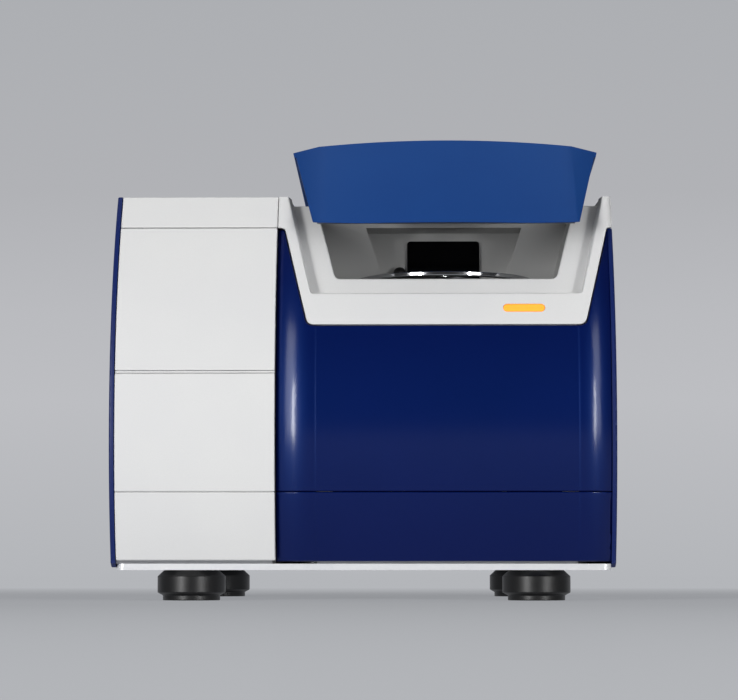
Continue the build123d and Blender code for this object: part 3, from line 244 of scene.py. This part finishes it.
def finishPiece(mesh, name, slotName, body, replaced, angle=35, welded=0.0):
    # links a mesh in metres as a piece: normals out, smooth apart from its sharp edges
    work = bmesh.new()
    work.from_mesh(mesh)
    if welded:
        bmesh.ops.remove_doubles(work, verts=work.verts, dist=welded * mm)
    bmesh.ops.recalc_face_normals(work, faces=work.faces)
    work.to_mesh(mesh)
    work.free()
    for face in mesh.polygons:
        face.use_smooth = True
    mesh.set_sharp_from_angle(angle=math.radians(angle))
    mesh.materials.clear()
    mesh.materials.append(materials[slotName])
    piece = bpy.data.objects.new(name, mesh)
    bpy.context.scene.collection.objects.link(piece)
    weighted = piece.modifiers.new("weighted", "WEIGHTED_NORMAL")
    weighted.weight = 80
    weighted.keep_sharp = True
    bakeModifiers(piece)
    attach(piece, body)
    if replaced:
        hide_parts(*replaced)
    return piece


def bakeModifiers(piece):
    # new_from_object turns the evaluated object into a plain mesh
    bpy.context.view_layer.update()
    evaluated = piece.evaluated_get(bpy.context.evaluated_depsgraph_get())
    plain = bpy.data.meshes.new_from_object(evaluated)
    piece.modifiers.clear()
    piece.data = plain


def flatSlab(outlines, thickness, edge):
    # rounded slab from closed outlines in mm, the first the outer one; its front face is at z = thickness / 2
    curve = bpy.data.curves.new("outline", "CURVE")
    curve.dimensions = "2D"
    curve.fill_mode = "BOTH"
    curve.extrude = thickness / 2 - edge
    curve.bevel_depth = edge
    curve.bevel_resolution = 2
    curve.offset = -edge
    for outline in outlines:
        spline = curve.splines.new("POLY")
        spline.points.add(len(outline) - 1)
        for point, (x, z) in zip(spline.points, outline):
            point.co = (x, z, 0, 1)
        spline.use_cyclic_u = True
    holder = bpy.data.objects.new("outline", curve)
    bpy.context.scene.collection.objects.link(holder)
    bpy.context.view_layer.update()
    mesh = bpy.data.meshes.new_from_object(holder.evaluated_get(bpy.context.evaluated_depsgraph_get()))
    bpy.data.objects.remove(holder)
    bpy.data.curves.remove(curve)
    return mesh


def cutAcross(work, along, places):
    # cuts a flat slab across at each place so that it can bend there
    normal = Vector((1, 0, 0)) if along == "x" else Vector((0, 1, 0))
    for place in places:
        bmesh.ops.bisect_plane(
            work, geom=list(work.verts) + list(work.edges) + list(work.faces),
            plane_co=normal * place, plane_no=normal, dist=0.0001)


def span(first, last, step):
    # even steps between two ends, without the ends
    count = max(1, round((last - first) / step))
    return [first + (last - first) * i / count for i in range(1, count)]


def frontSlab(outlines, front, thickness, edge, xCuts=(), relief=None, step=6.0):
    # lays a rounded slab on the drum, its face at the depth front, deepened where relief(x) says
    mesh = flatSlab(outlines, thickness, edge)
    low = min(z for x, z in outlines[0])
    high = max(z for x, z in outlines[0])
    work = bmesh.new()
    work.from_mesh(mesh)
    bmesh.ops.remove_doubles(work, verts=work.verts, dist=0.001)
    cutAcross(work, "z", span(low, high, step))
    cutAcross(work, "x", xCuts)
    for vert in work.verts:
        x, z, level = vert.co
        depth = front + thickness / 2 - level + (relief(x) if relief else 0)
        vert.co = (x * mm, frontAt(z, depth) * mm, z * mm)
    work.to_mesh(mesh)
    work.free()
    return mesh


def cornerPoints(before, at, after, radius, steps):
    # a smooth turn at one corner of an outline
    into = (Vector(at) - Vector(before)).normalized()
    out = (Vector(after) - Vector(at)).normalized()
    turn = into.angle(out, 0)
    reach = radius * math.tan(turn / 2) if turn > 0.02 else radius
    start = Vector(at) - into * reach
    end = Vector(at) + out * reach
    points = []
    for i in range(steps + 1):
        t = i / steps
        points.append(tuple(start * (1 - t) ** 2 + Vector(at) * 2 * t * (1 - t) + end * t ** 2))
    return points


def roundedOutline(corners, steps=7):
    # corners are (x, z, radius)
    points = []
    for i, (x, z, radius) in enumerate(corners):
        before = corners[i - 1][:2]
        after = corners[(i + 1) % len(corners)][:2]
        points += cornerPoints(before, (x, z), after, radius, steps) if radius else [(x, z)]
    return points


def rectangle(x0, x1, z0, z1, radius):
    return roundedOutline([(x0, z0, radius), (x1, z0, radius), (x1, z1, radius), (x0, z1, radius)])


# White panels of the left bay

whitePanels = {
    "left": -183.5, "right": -65.25, "face": 0.6, "wall": 3.4, "edge": 0.9, "corner": 1.0,
    "rows": {
        "left_kick_panel": (29.6, 79.8), "left_middle_panel": (80.05, 167.4),
        "left_upper_panel": (169.5, 279.75), "left_top_strip": (280.25, 305.5)},
    "strip": (167.75, 169.15, 1.9),
}


def makeWhitePanels(size):
    for name, (low, high) in size["rows"].items():
        outline = rectangle(size["left"], size["right"], low, high, size["corner"])
        mesh = frontSlab([outline], size["face"], size["wall"], size["edge"])
        finishPiece(mesh, name + "_skin", "white_shell", "housing", [name])
    low, high, face = size["strip"]
    outline = rectangle(size["left"], size["right"], low, high, 0.2)
    mesh = frontSlab([outline], face, size["face"] + size["wall"] - face, 0.25)
    finishPiece(mesh, "left_trim_strip_skin", "white_shell", "housing", ["left_trim_strip"])


makeWhitePanels(whitePanels)
print("white panels made")


# Blue panels of the right bay, with a rolled column at each side

bluePanels = {
    "left": -64.75, "right": 183.75, "leftCrease": -35.0, "rightCrease": 159.4,
    "roll": 7.0, "leftMid": (-52.75, 1.7), "rightMid": (173.75, 1.7), "step": 0.6,
    "stepWidth": 1.2, "cutStep": 1.8,
    "wall": 4.0, "edge": 0.9,
    "low": 80.3, "kickLow": 28.9, "kickHigh": 79.95, "high": 279.3,
    "notchTop": 122.0, "notchBottom": 103.7, "notchLow": 203.2, "notchCorner": 6.5, "topCorner": 4.0,
}


def circleDepth(a, b, c):
    # depth as a function of x on the circle through three (x, depth) points
    (x1, y1), (x2, y2), (x3, y3) = a, b, c
    d = 2 * (x1 * (y2 - y3) + x2 * (y3 - y1) + x3 * (y1 - y2))
    s1, s2, s3 = x1 ** 2 + y1 ** 2, x2 ** 2 + y2 ** 2, x3 ** 2 + y3 ** 2
    cx = (s1 * (y2 - y3) + s2 * (y3 - y1) + s3 * (y1 - y2)) / d
    cy = (s1 * (x3 - x2) + s2 * (x1 - x3) + s3 * (x2 - x1)) / d
    radius = math.hypot(x1 - cx, y1 - cy)
    return lambda x: cy - math.sqrt(max(0.0, radius ** 2 - (x - cx) ** 2))


def makeBluePanels(size):
    leftArc = circleDepth((size["left"], size["roll"]), size["leftMid"], (size["leftCrease"], 0.0))
    rightArc = circleDepth((size["right"], size["roll"]), size["rightMid"], (size["rightCrease"], 0.0))

    def relief(x):
        if x <= size["leftCrease"]:
            return leftArc(max(x, size["left"]))
        if x >= size["rightCrease"]:
            return rightArc(min(x, size["right"]))
        near = min(x - size["leftCrease"], size["rightCrease"] - x)
        return size["step"] * min(1.0, near / size["stepWidth"])

    creases = [size["leftCrease"], size["leftCrease"] + size["stepWidth"],
               size["rightCrease"] - size["stepWidth"], size["rightCrease"]]
    cuts = creases + span(size["left"], size["leftCrease"], size["cutStep"])
    cuts += span(size["rightCrease"], size["right"], size["cutStep"])
    notch = size["notchLow"]
    panel = roundedOutline([
        (size["left"], size["low"], 0.8), (size["right"], size["low"], 0.8),
        (size["right"], size["high"], 0.3),
        (bayX + size["notchBottom"], notch, size["notchCorner"]),
        (bayX - size["notchBottom"], notch, size["notchCorner"]),
        (bayX - size["notchTop"], size["high"], size["topCorner"]), (size["left"], size["high"], 0.3)])
    kick = rectangle(size["left"], size["right"], size["kickLow"], size["kickHigh"], 0.8)
    for name, outline in (("right_front_panel", panel), ("right_kick_panel", kick)):
        mesh = frontSlab([outline], 0.0, size["wall"], size["edge"], cuts, relief)
        finishPiece(mesh, name + "_skin", "blue_shell", "housing", [name])


makeBluePanels(bluePanels)
print("blue panels made")


# Bezel round the lid pocket: one section carried along a U

bezel = {
    "top": 305.5, "seam": 280.0, "left": -64.75, "right": 187.5, "bottom": 203.9,
    "halfBottom": 103.0, "halfTop": 121.3, "corner": 6.0, "topCorner": 4.0,
    "pocketBottom": 228.0, "pocketHalfBottom": 101.0, "pocketHalfTop": 119.2, "pocketCorner": 3.0,
    "face": 4.0, "depth": 12.0, "edge": 1.1, "lip": 2.2, "draft": 0.15, "shoulder": 6.0,
}


statusLight = {"x": 119.4, "z": 216.5, "width": 30.7, "height": 5.5, "face": 0.3, "wall": 3.7}


def slotOutline(size, gap):
    half = size["height"] / 2 + gap
    reach = (size["width"] - size["height"]) / 2
    return [(size["x"] + sign * (reach + half * math.cos(math.radians(a))),
             size["z"] + sign * half * math.sin(math.radians(a)))
            for sign in (1, -1) for a in range(-90, 91, 15)]


def cutOut(mesh, cutter):
    # takes the cutter's space out of a closed mesh
    pair = []
    for part in (mesh, cutter):
        work = bmesh.new()
        work.from_mesh(part)
        bmesh.ops.recalc_face_normals(work, faces=work.faces)
        work.to_mesh(part)
        work.free()
        holder = bpy.data.objects.new("part", part)
        bpy.context.scene.collection.objects.link(holder)
        pair.append(holder)
    cut = pair[0].modifiers.new("cut", "BOOLEAN")
    cut.operation = "DIFFERENCE"
    cut.solver = "EXACT"
    cut.object = pair[1]
    bakeModifiers(pair[0])
    result = pair[0].data
    for holder in pair:
        bpy.data.objects.remove(holder)
    return result


def pathPoints(corners, runs, steps=7):
    # an open path with rounded corners and a set count of points on each run
    points = [corners[0][:2]]
    for i in range(1, len(corners)):
        here = corners[i]
        if i < len(corners) - 1:
            arc = cornerPoints(corners[i - 1][:2], here[:2], corners[i + 1][:2], here[2], steps)
        else:
            arc = [here[:2]]
        start = Vector(points[-1])
        for j in range(1, runs[i - 1] + 1):
            points.append(tuple(start.lerp(Vector(arc[0]), j / runs[i - 1])))
        points += arc[1:]
    return points


def makeBezel(size):
    def pocketHalf(z):
        share = (z - size["pocketBottom"]) / (size["top"] - size["pocketBottom"])
        return size["pocketHalfBottom"] + share * (size["pocketHalfTop"] - size["pocketHalfBottom"])

    def side(sign):
        edge = size["left"] if sign < 0 else size["right"]
        outer = [(edge, size["top"], 0), (edge, size["seam"], 0.7),
                 (bayX + sign * size["halfTop"], size["seam"], size["topCorner"] if sign < 0 else 2.0),
                 (bayX + sign * size["halfBottom"], size["bottom"], size["corner"])]
        inner = [(bayX + sign * pocketHalf(z), z, radius) for z, radius in (
            (size["top"], 0), (size["seam"] + 1, 0.5), (size["seam"] - 4, 0.5),
            (size["pocketBottom"], size["pocketCorner"]))]
        return outer, inner

    leftOuter, leftInner = side(-1)
    rightOuter, rightInner = side(1)
    runs = [6, 3, 14, 30, 14, 3, 6]
    outer = pathPoints(leftOuter + rightOuter[::-1], runs)
    inner = pathPoints(leftInner + rightInner[::-1], runs)
    edge = size["edge"]
    turns = [math.radians(a) for a in (0, 30, 60, 90)]

    def section(width):
        # (distance from the pocket's edge, depth), closed round the back
        points = [(0.0, size["depth"]), (0.0, size["depth"] / 2)]
        points += [(edge - edge * math.cos(a), edge - edge * math.sin(a)) for a in turns]
        points += [(edge + (width - 2 * edge) * i / 6, 0.0) for i in range(1, 6)]
        points += [(width - edge + edge * math.sin(a), edge - edge * math.cos(a)) for a in turns]
        back = min(size["lip"], width / 2)
        points += [(width, size["face"]), (back, size["face"]), (back, size["depth"])]
        return points

    shoulderStart = size["right"] - size["shoulder"]
    verts, rings = [], []
    for (ox, oz), (ix, iz) in zip(outer, inner):
        across = Vector((ox - ix, oz - iz))
        width = across.length
        across.normalize()
        ring = []
        for off, depth in section(width):
            # only the pocket's own wall leans
            lean = size["draft"] * depth * abs(across.x) if off < 0.5 * size["lip"] + 0.2 else 0.0
            slip = off - lean
            x, z = ix + across.x * slip, iz + across.y * slip
            over = max(0.0, x - shoulderStart) / size["shoulder"]
            rolled = depth + size["shoulder"] * (1 - math.sqrt(max(0.0, 1 - over ** 2))) * 0.9
            ring.append(len(verts))
            verts.append((x * mm, frontAt(z, rolled) * mm, z * mm))
        rings.append(ring)
    faces = []
    count = len(rings[0])
    for first, second in zip(rings, rings[1:]):
        for j in range(count):
            k = (j + 1) % count
            faces.append((first[j], first[k], second[k], second[j]))
    faces += [tuple(rings[0]), tuple(reversed(rings[-1]))]
    mesh = bpy.data.meshes.new("bezel")
    mesh.from_pydata(verts, [], faces)
    mesh = cutOut(mesh, frontSlab([slotOutline(statusLight, 0.3)], -3.0, 12.0, 0.01, step=2.0))
    finishPiece(mesh, "front_bezel_skin", "white_shell", "housing", ["front_bezel"])


makeBezel(bezel)
print("bezel made")


# Status light and the seat that the lid closes on

seat = {"bottom": 240.5, "top": 299.8, "halfBottom": 83.0, "halfTop": 98.0, "corner": 5.0,
        "low": 220.0, "lowHalf": 102.5, "topHalf": 119.6, "face": 12.02, "wall": 2.98, "edge": 1.0}


def makeStatusLight(size):
    outline = slotOutline(size, 0.0)
    mesh = frontSlab([outline], size["face"], size["wall"], 0.5, step=2.0)
    finishPiece(mesh, "status_lens_lit", "light_amber", "housing", ["status_lens"])


def makeSeat(size):
    outline = roundedOutline([
        (bayX - size["lowHalf"], size["low"], 0.5), (bayX + size["lowHalf"], size["low"], 0.5),
        (bayX + size["topHalf"], size["top"], 0.4), (bayX + size["halfTop"], size["top"], 0.4),
        (bayX + size["halfBottom"], size["bottom"], size["corner"]),
        (bayX - size["halfBottom"], size["bottom"], size["corner"]),
        (bayX - size["halfTop"], size["top"], 0.4), (bayX - size["topHalf"], size["top"], 0.4)])
    mesh = frontSlab([outline], size["face"], size["wall"], size["edge"])
    finishPiece(mesh, "seat_flange_skin", "seat_plastic", "housing", ["seat_flange"])


makeStatusLight(statusLight)
makeSeat(seat)
print("status light and seat made")


# Turned pieces: feet and turntable rim

def turnedMesh(profile, centre, count):
    # profile is (radius, height) in mm round an upright axis, closed at both ends
    verts, faces = [], []
    for i in range(count):
        angle = 2 * math.pi * i / count
        for radius, height in profile:
            verts.append(((centre[0] + radius * math.cos(angle)) * mm,
                          (centre[1] + radius * math.sin(angle)) * mm, height * mm))
    size = len(profile)
    for i in range(count):
        for j in range(size):
            k = (j + 1) % size
            after = (i + 1) % count
            faces.append((i * size + j, after * size + j, after * size + k, i * size + k))
    mesh = bpy.data.meshes.new("turned")
    mesh.from_pydata(verts, [], faces)
    return mesh


turnSteps = 4
foot = {"places": [(-129, -200), (129, -200), (-129, 112), (129, 112)],
        "profile": [(0.01, 22.5, 0), (20.4, 22.5, 0.3), (25.4, 17.9, 1.2), (25.4, 5.9, 0.9),
                    (21.4, 3.7, 0.6), (21.4, 0, 0.7), (6.0, 0, 0.5), (6.0, 3.7, 0.4), (0.01, 3.7, 0)]}
turntable = {"centre": (61.7, -138.0), "radius": 68.0, "inner": 66.4, "low": 243.6, "high": 246.8}

for index, place in enumerate(foot["places"]):
    mesh = turnedMesh(roundedOutline(foot["profile"], turnSteps), place, 96)
    node = "foot_%d" % (index + 1)
    finishPiece(mesh, node + "_rubber", "foot_rubber", "housing", [node], welded=0.02)

rimProfile = roundedOutline([
    (turntable["inner"], turntable["low"], 0.4), (turntable["radius"], turntable["low"], 0.7),
    (turntable["radius"], turntable["high"], 0.7), (turntable["inner"], turntable["high"], 0.4)], turnSteps)
mesh = turnedMesh(rimProfile, turntable["centre"], 240)
finishPiece(mesh, "turntable_rim_ring", "chrome_trim", "turntable", ["turntable_rim"])
print("turned pieces made")


# CAD nodes whose shape is right get rounded edges

# lid: the hem's rise in mm; softened: bevel widths in mm; pierced: faces with holes stay triangles
lid = {"floorTop": 281.4, "rear": -221.5, "front": -244.5, "lift": 4.6}
softened = {
    "lid_shell": 1.1, "chamber_tub": 0.7, "chamber_recess": 0.5, "left_side_cover": 1.2,
    "right_side_cover": 1.2, "base_plate": 0.5, "top_cover": 0.8, "rear_panel": 0.4,
    "left_hinge_arm": 0.5, "right_hinge_arm": 0.5,
}
pierced = ("chamber_tub", "chamber_recess", "rear_panel", "base_plate", "top_cover")


def shapeLid(place):
    # the hem rises towards the back, out of sight behind the front edge
    x, y, z = place
    if z < lid["floorTop"] and y > lid["front"]:
        z += lid["lift"] * min(1.0, (y - lid["front"]) / (lid["rear"] - lid["front"]))
    return x, y, z


def soften(name, width, merged, reshape=None):
    # a plain copy of a node's surface with its sharp edges bevelled
    node = nodes[name]
    work = bmesh.new()
    work.from_mesh(node.data)
    work.transform(node.matrix_world)
    bmesh.ops.remove_doubles(work, verts=work.verts, dist=0.004 * mm)
    if reshape:
        for vert in work.verts:
            vert.co = Vector(reshape(vert.co / mm)) * mm
    if merged:
        bmesh.ops.dissolve_limit(work, angle_limit=math.radians(0.4), verts=work.verts, edges=work.edges)
    plain = bpy.data.meshes.new(name)
    work.verts.index_update()
    plain.from_pydata([v.co for v in work.verts], [], [[v.index for v in f.verts] for f in work.faces])
    work.free()
    holder = bpy.data.objects.new(name, plain)
    bpy.context.scene.collection.objects.link(holder)
    rounded = holder.modifiers.new("rounded", "BEVEL")
    rounded.width = width * mm
    rounded.segments = 2
    rounded.limit_method = "ANGLE"
    rounded.angle_limit = math.radians(24)
    rounded.miter_outer = "MITER_ARC"
    bakeModifiers(holder)
    mesh = holder.data
    bpy.data.objects.remove(holder)
    return mesh


bodies = frame["record"]["behaviour"]["bodies"]
bodyOf = {node: body for body, members in bodies.items() for node in members}
for name, width in softened.items():
    mesh = soften(name, width, name not in pierced, shapeLid if name == "lid_shell" else None)
    finishPiece(mesh, name + "_rounded", slotOf[name], bodyOf[name], [name])
print("edges rounded on", len(softened), "nodes")


# Socket screws on the rear panel and round its fan, set out by one node tree

screws = {"radius": 3.4, "height": 1.9, "socket": 1.6, "sides": 48, "seed": 7, "turn": 6.28, "face": 247.2,
          "places": [(x, z) for x in (-174, -60, 174) for z in (35, 292)]
          + [(-174, 165), (174, 165), (60, 292)]
          + [(110 + x, 165 + z) for x in (-41, 41) for z in (-41, 41)]}


def makeScrewHead(size):
    # button head with a hexagon socket, its axis along y
    radius, height, socket = size["radius"], size["height"], size["socket"]
    profile = [(radius, 0.0, 0), (radius, 0.4 * height, 0), (0.86 * radius, 0.78 * height, 0),
               (0.66 * radius, height, 0), (socket, height, 1), (socket, 0.35 * height, 1),
               (0.02, 0.25 * height, 1)]
    verts, faces = [], []
    for i in range(size["sides"]):
        angle = 2 * math.pi * i / size["sides"]
        flat = math.cos(math.pi / 6) / math.cos(angle % (math.pi / 3) - math.pi / 6)
        for reach, level, hexagonal in profile:
            across = reach * (flat if hexagonal else 1.0)
            verts.append((across * math.cos(angle) * mm, level * mm, across * math.sin(angle) * mm))
    count = len(profile)
    for i in range(size["sides"]):
        after = (i + 1) % size["sides"]
        faces += [(i * count + j, after * count + j, after * count + j + 1, i * count + j + 1)
                  for j in range(count - 1)]
    faces.append(tuple(i * count for i in range(size["sides"])))
    faces.append(tuple((i + 1) * count - 1 for i in range(size["sides"]))[::-1])
    mesh = bpy.data.meshes.new("screw_head")
    mesh.from_pydata(verts, [], faces)
    return mesh


def makeScrewTree():
    tree = bpy.data.node_groups.new("screw_field", "GeometryNodeTree")
    inputs = {}
    for name, kind in (("Geometry", "Geometry"), ("Screw", "Object"), ("Seed", "Int"),
                       ("Turn", "Float"), ("Finish", "Material")):
        socket = tree.interface.new_socket(name, in_out="INPUT", socket_type="NodeSocket" + kind)
        inputs[name] = socket.identifier
    tree.interface.new_socket("Geometry", in_out="OUTPUT", socket_type="NodeSocketGeometry")
    given = addNode(tree, "NodeGroupInput").outputs
    points = addNode(tree, "GeometryNodeMeshToPoints", {"Mesh": given["Geometry"]})
    head = addNode(tree, "GeometryNodeObjectInfo", {"Object": given["Screw"]})
    turn = addNode(tree, "FunctionNodeRandomValue", {3: given["Turn"], "Seed": given["Seed"]})
    angles = addNode(tree, "ShaderNodeCombineXYZ", {"Y": turn.outputs[1]})
    placed = addNode(tree, "GeometryNodeInstanceOnPoints", {
        "Points": points.outputs[0], "Instance": head.outputs["Geometry"], "Rotation": angles.outputs[0]})
    solid = addNode(tree, "GeometryNodeRealizeInstances", {"Geometry": placed.outputs[0]})
    finished = addNode(tree, "GeometryNodeSetMaterial", {
        "Geometry": solid.outputs[0], "Material": given["Finish"]})
    addNode(tree, "NodeGroupOutput", {"Geometry": finished.outputs[0]})
    return tree, inputs


def makeScrews(size):
    head = bpy.data.objects.new("screw_head", makeScrewHead(size))
    sites = bpy.data.meshes.new("screw_sites")
    sites.from_pydata([(x * mm, size["face"] * mm, z * mm) for x, z in size["places"]], [], [])
    field = bpy.data.objects.new("screw_field", sites)
    bpy.context.scene.collection.objects.link(field)
    tree, inputs = makeScrewTree()
    setOut = field.modifiers.new("screws", "NODES")
    setOut.node_group = tree
    for name, value in (("Screw", head), ("Seed", size["seed"]), ("Turn", size["turn"]),
                        ("Finish", materials["shaft_steel"])):
        setOut[inputs[name]] = value
    bakeModifiers(field)
    mesh = field.data
    bpy.data.objects.remove(field)
    bpy.data.objects.remove(head)
    finishPiece(mesh, "rear_screws", "shaft_steel", "housing", [])


makeScrews(screws)
print("screws set")


# Studio: pale floor, far wall and soft light

studio = {
    # painted shade: the floor's near tint darkens the floor round the object
    "floorTint": "#B6B8BC", "floorShade": "#A6A8AC", "world": "#CFD1D5", "worldStrength": 0.06,
    # painted light: the backdrop's ramp is palest at the height of the object
    "wall": [(0.0, "#B4B6BA"), (0.3, "#BDBEC2"), (0.45, "#BABBBF"), (0.66, "#B1B2B6"), (1.0, "#ADAFB3")],
    "wallHeight": 2.0, "tableEdge": (0.3, 1.2),
    "lights": {
        # place, aim, extent, power
        "leftSoftbox": ((-2.1, -2.8, 0.9), (0, 0, 0.17), (0.9, 2.0), 32),
        "rightSoftbox": ((2.2, -2.8, 0.9), (0, 0, 0.17), (0.9, 2.0), 26),
        "leftStrip": ((-1.38, -2.48, 0.26), (0, 0, 0.17), (0.14, 1.0), 28),
        "rightStrip": ((1.5, -2.48, 0.26), (0, 0, 0.17), (0.14, 1.0), 20),
        "topSoftbox": ((0.0, 0.5, 2.6), (0, 0, 0.17), (3.0, 2.0), 26),
        "chamberLamp": ((0.0617, -0.165, 0.288), (0.0617, -0.09, 0.262), (0.12, 0.02), 0.006),
    },
}


def makeStageBoard(name):
    # starts a stage material; gives its tree and its split Object coordinates
    material = bpy.data.materials.new(name)
    material.use_nodes = True
    tree = material.node_tree
    tree.nodes.clear()
    place = addNode(tree, "ShaderNodeTexCoord").outputs["Object"]
    return material, tree, addNode(tree, "ShaderNodeSeparateXYZ", {0: place})


def makeFloorBoard(size):
    # matt painted board with painted shade: a little darker under the object, hardly any shine
    material, tree, place = makeStageBoard("floor_board_painted_shade")
    # painted shade: the floor tint turns darker towards and under the object
    share = addNode(tree, "ShaderNodeMapRange", {0: place.outputs["Y"], "From Min": -1.75, "From Max": -0.5})
    near = addNode(tree, "ShaderNodeMix", {
        "Factor": share.outputs[0], 6: linear(size["floorTint"]), 7: linear(size["floorShade"])},
        data_type="RGBA")
    edge = addNode(tree, "ShaderNodeMapRange", {
        0: place.outputs["Y"], "From Min": size["tableEdge"][0], "From Max": size["tableEdge"][1]})
    colour = addNode(tree, "ShaderNodeMix", {
        "Factor": edge.outputs[0], 6: near.outputs[2], 7: linear(size["wall"][0][1])}, data_type="RGBA")
    flat = addNode(tree, "ShaderNodeBsdfDiffuse", {"Color": colour.outputs[2], "Roughness": 0.5})
    lit = addNode(tree, "ShaderNodeEmission", {"Color": colour.outputs[2], "Strength": 1.0})
    bright = addNode(tree, "ShaderNodeMapRange", {0: edge.outputs[0], "To Min": 0.7, "To Max": 1.0})
    even = addNode(tree, "ShaderNodeMixShader", {0: bright.outputs[0], 1: flat.outputs[0], 2: lit.outputs[0]})
    shine = addNode(tree, "ShaderNodeBsdfGlossy", {"Color": linear("#C8C8CC"), "Roughness": 0.16})
    both = addNode(tree, "ShaderNodeMixShader", {0: 0.01, 1: even.outputs[0], 2: shine.outputs[0]})
    addNode(tree, "ShaderNodeOutputMaterial", {"Surface": both.outputs[0]})
    return material


def makeWallBoard(size):
    # backdrop lit by its own emission, with painted light: grey, palest at the height of the object
    material, tree, place = makeStageBoard("backdrop_painted_light")
    share = addNode(tree, "ShaderNodeMapRange", {
        0: place.outputs["Z"], "From Min": 0.0, "From Max": size["wallHeight"]})
    # painted light: the ramp's stops brighten the backdrop at the object's height
    ramp = addNode(tree, "ShaderNodeValToRGB", {0: share.outputs[0]})
    stops = ramp.color_ramp.elements
    while len(stops) < len(size["wall"]):
        stops.new(0.5)
    for stop, (position, tint) in zip(stops, size["wall"]):
        stop.position = position
        stop.color = linear(tint)
    lit = addNode(tree, "ShaderNodeEmission", {"Color": ramp.outputs[0], "Strength": 1.0})
    addNode(tree, "ShaderNodeOutputMaterial", {"Surface": lit.outputs[0]})
    return material


def makeStudio(size):
    materialsOfStage = {"floor": makeFloorBoard(size), "wall": makeWallBoard(size)}
    for name, corners in (
            ("floor", [(-9, -9, 0), (9, -9, 0), (9, 7, 0), (-9, 7, 0)]),
            ("wall", [(-12, 7, -1), (12, 7, -1), (12, 7, 9), (-12, 7, 9)])):
        mesh = bpy.data.meshes.new(name)
        mesh.from_pydata(corners, [], [(0, 1, 2, 3)])
        mesh.materials.append(materialsOfStage[name])
        sheet = bpy.data.objects.new(name, mesh)
        bpy.context.scene.collection.objects.link(sheet)
    for name, (place, target, extent, power) in size["lights"].items():
        lamp = bpy.data.lights.new(name, "AREA")
        lamp.shape = "RECTANGLE"
        lamp.size, lamp.size_y = extent
        lamp.energy = power
        holder = bpy.data.objects.new(name, lamp)
        holder.location = place
        aim = Vector(target) - Vector(place)
        holder.rotation_euler = aim.to_track_quat("-Z", "Y").to_euler()
        holder.visible_camera = False
        holder.visible_glossy = name != "chamberLamp"
        bpy.context.scene.collection.objects.link(holder)
    world = bpy.data.worlds.new("studio")
    world.use_nodes = True
    world.node_tree.nodes["Background"].inputs[0].default_value = linear(size["world"])
    world.node_tree.nodes["Background"].inputs[1].default_value = size["worldStrength"]
    bpy.context.scene.world = world


makeStudio(studio)
print("studio made")
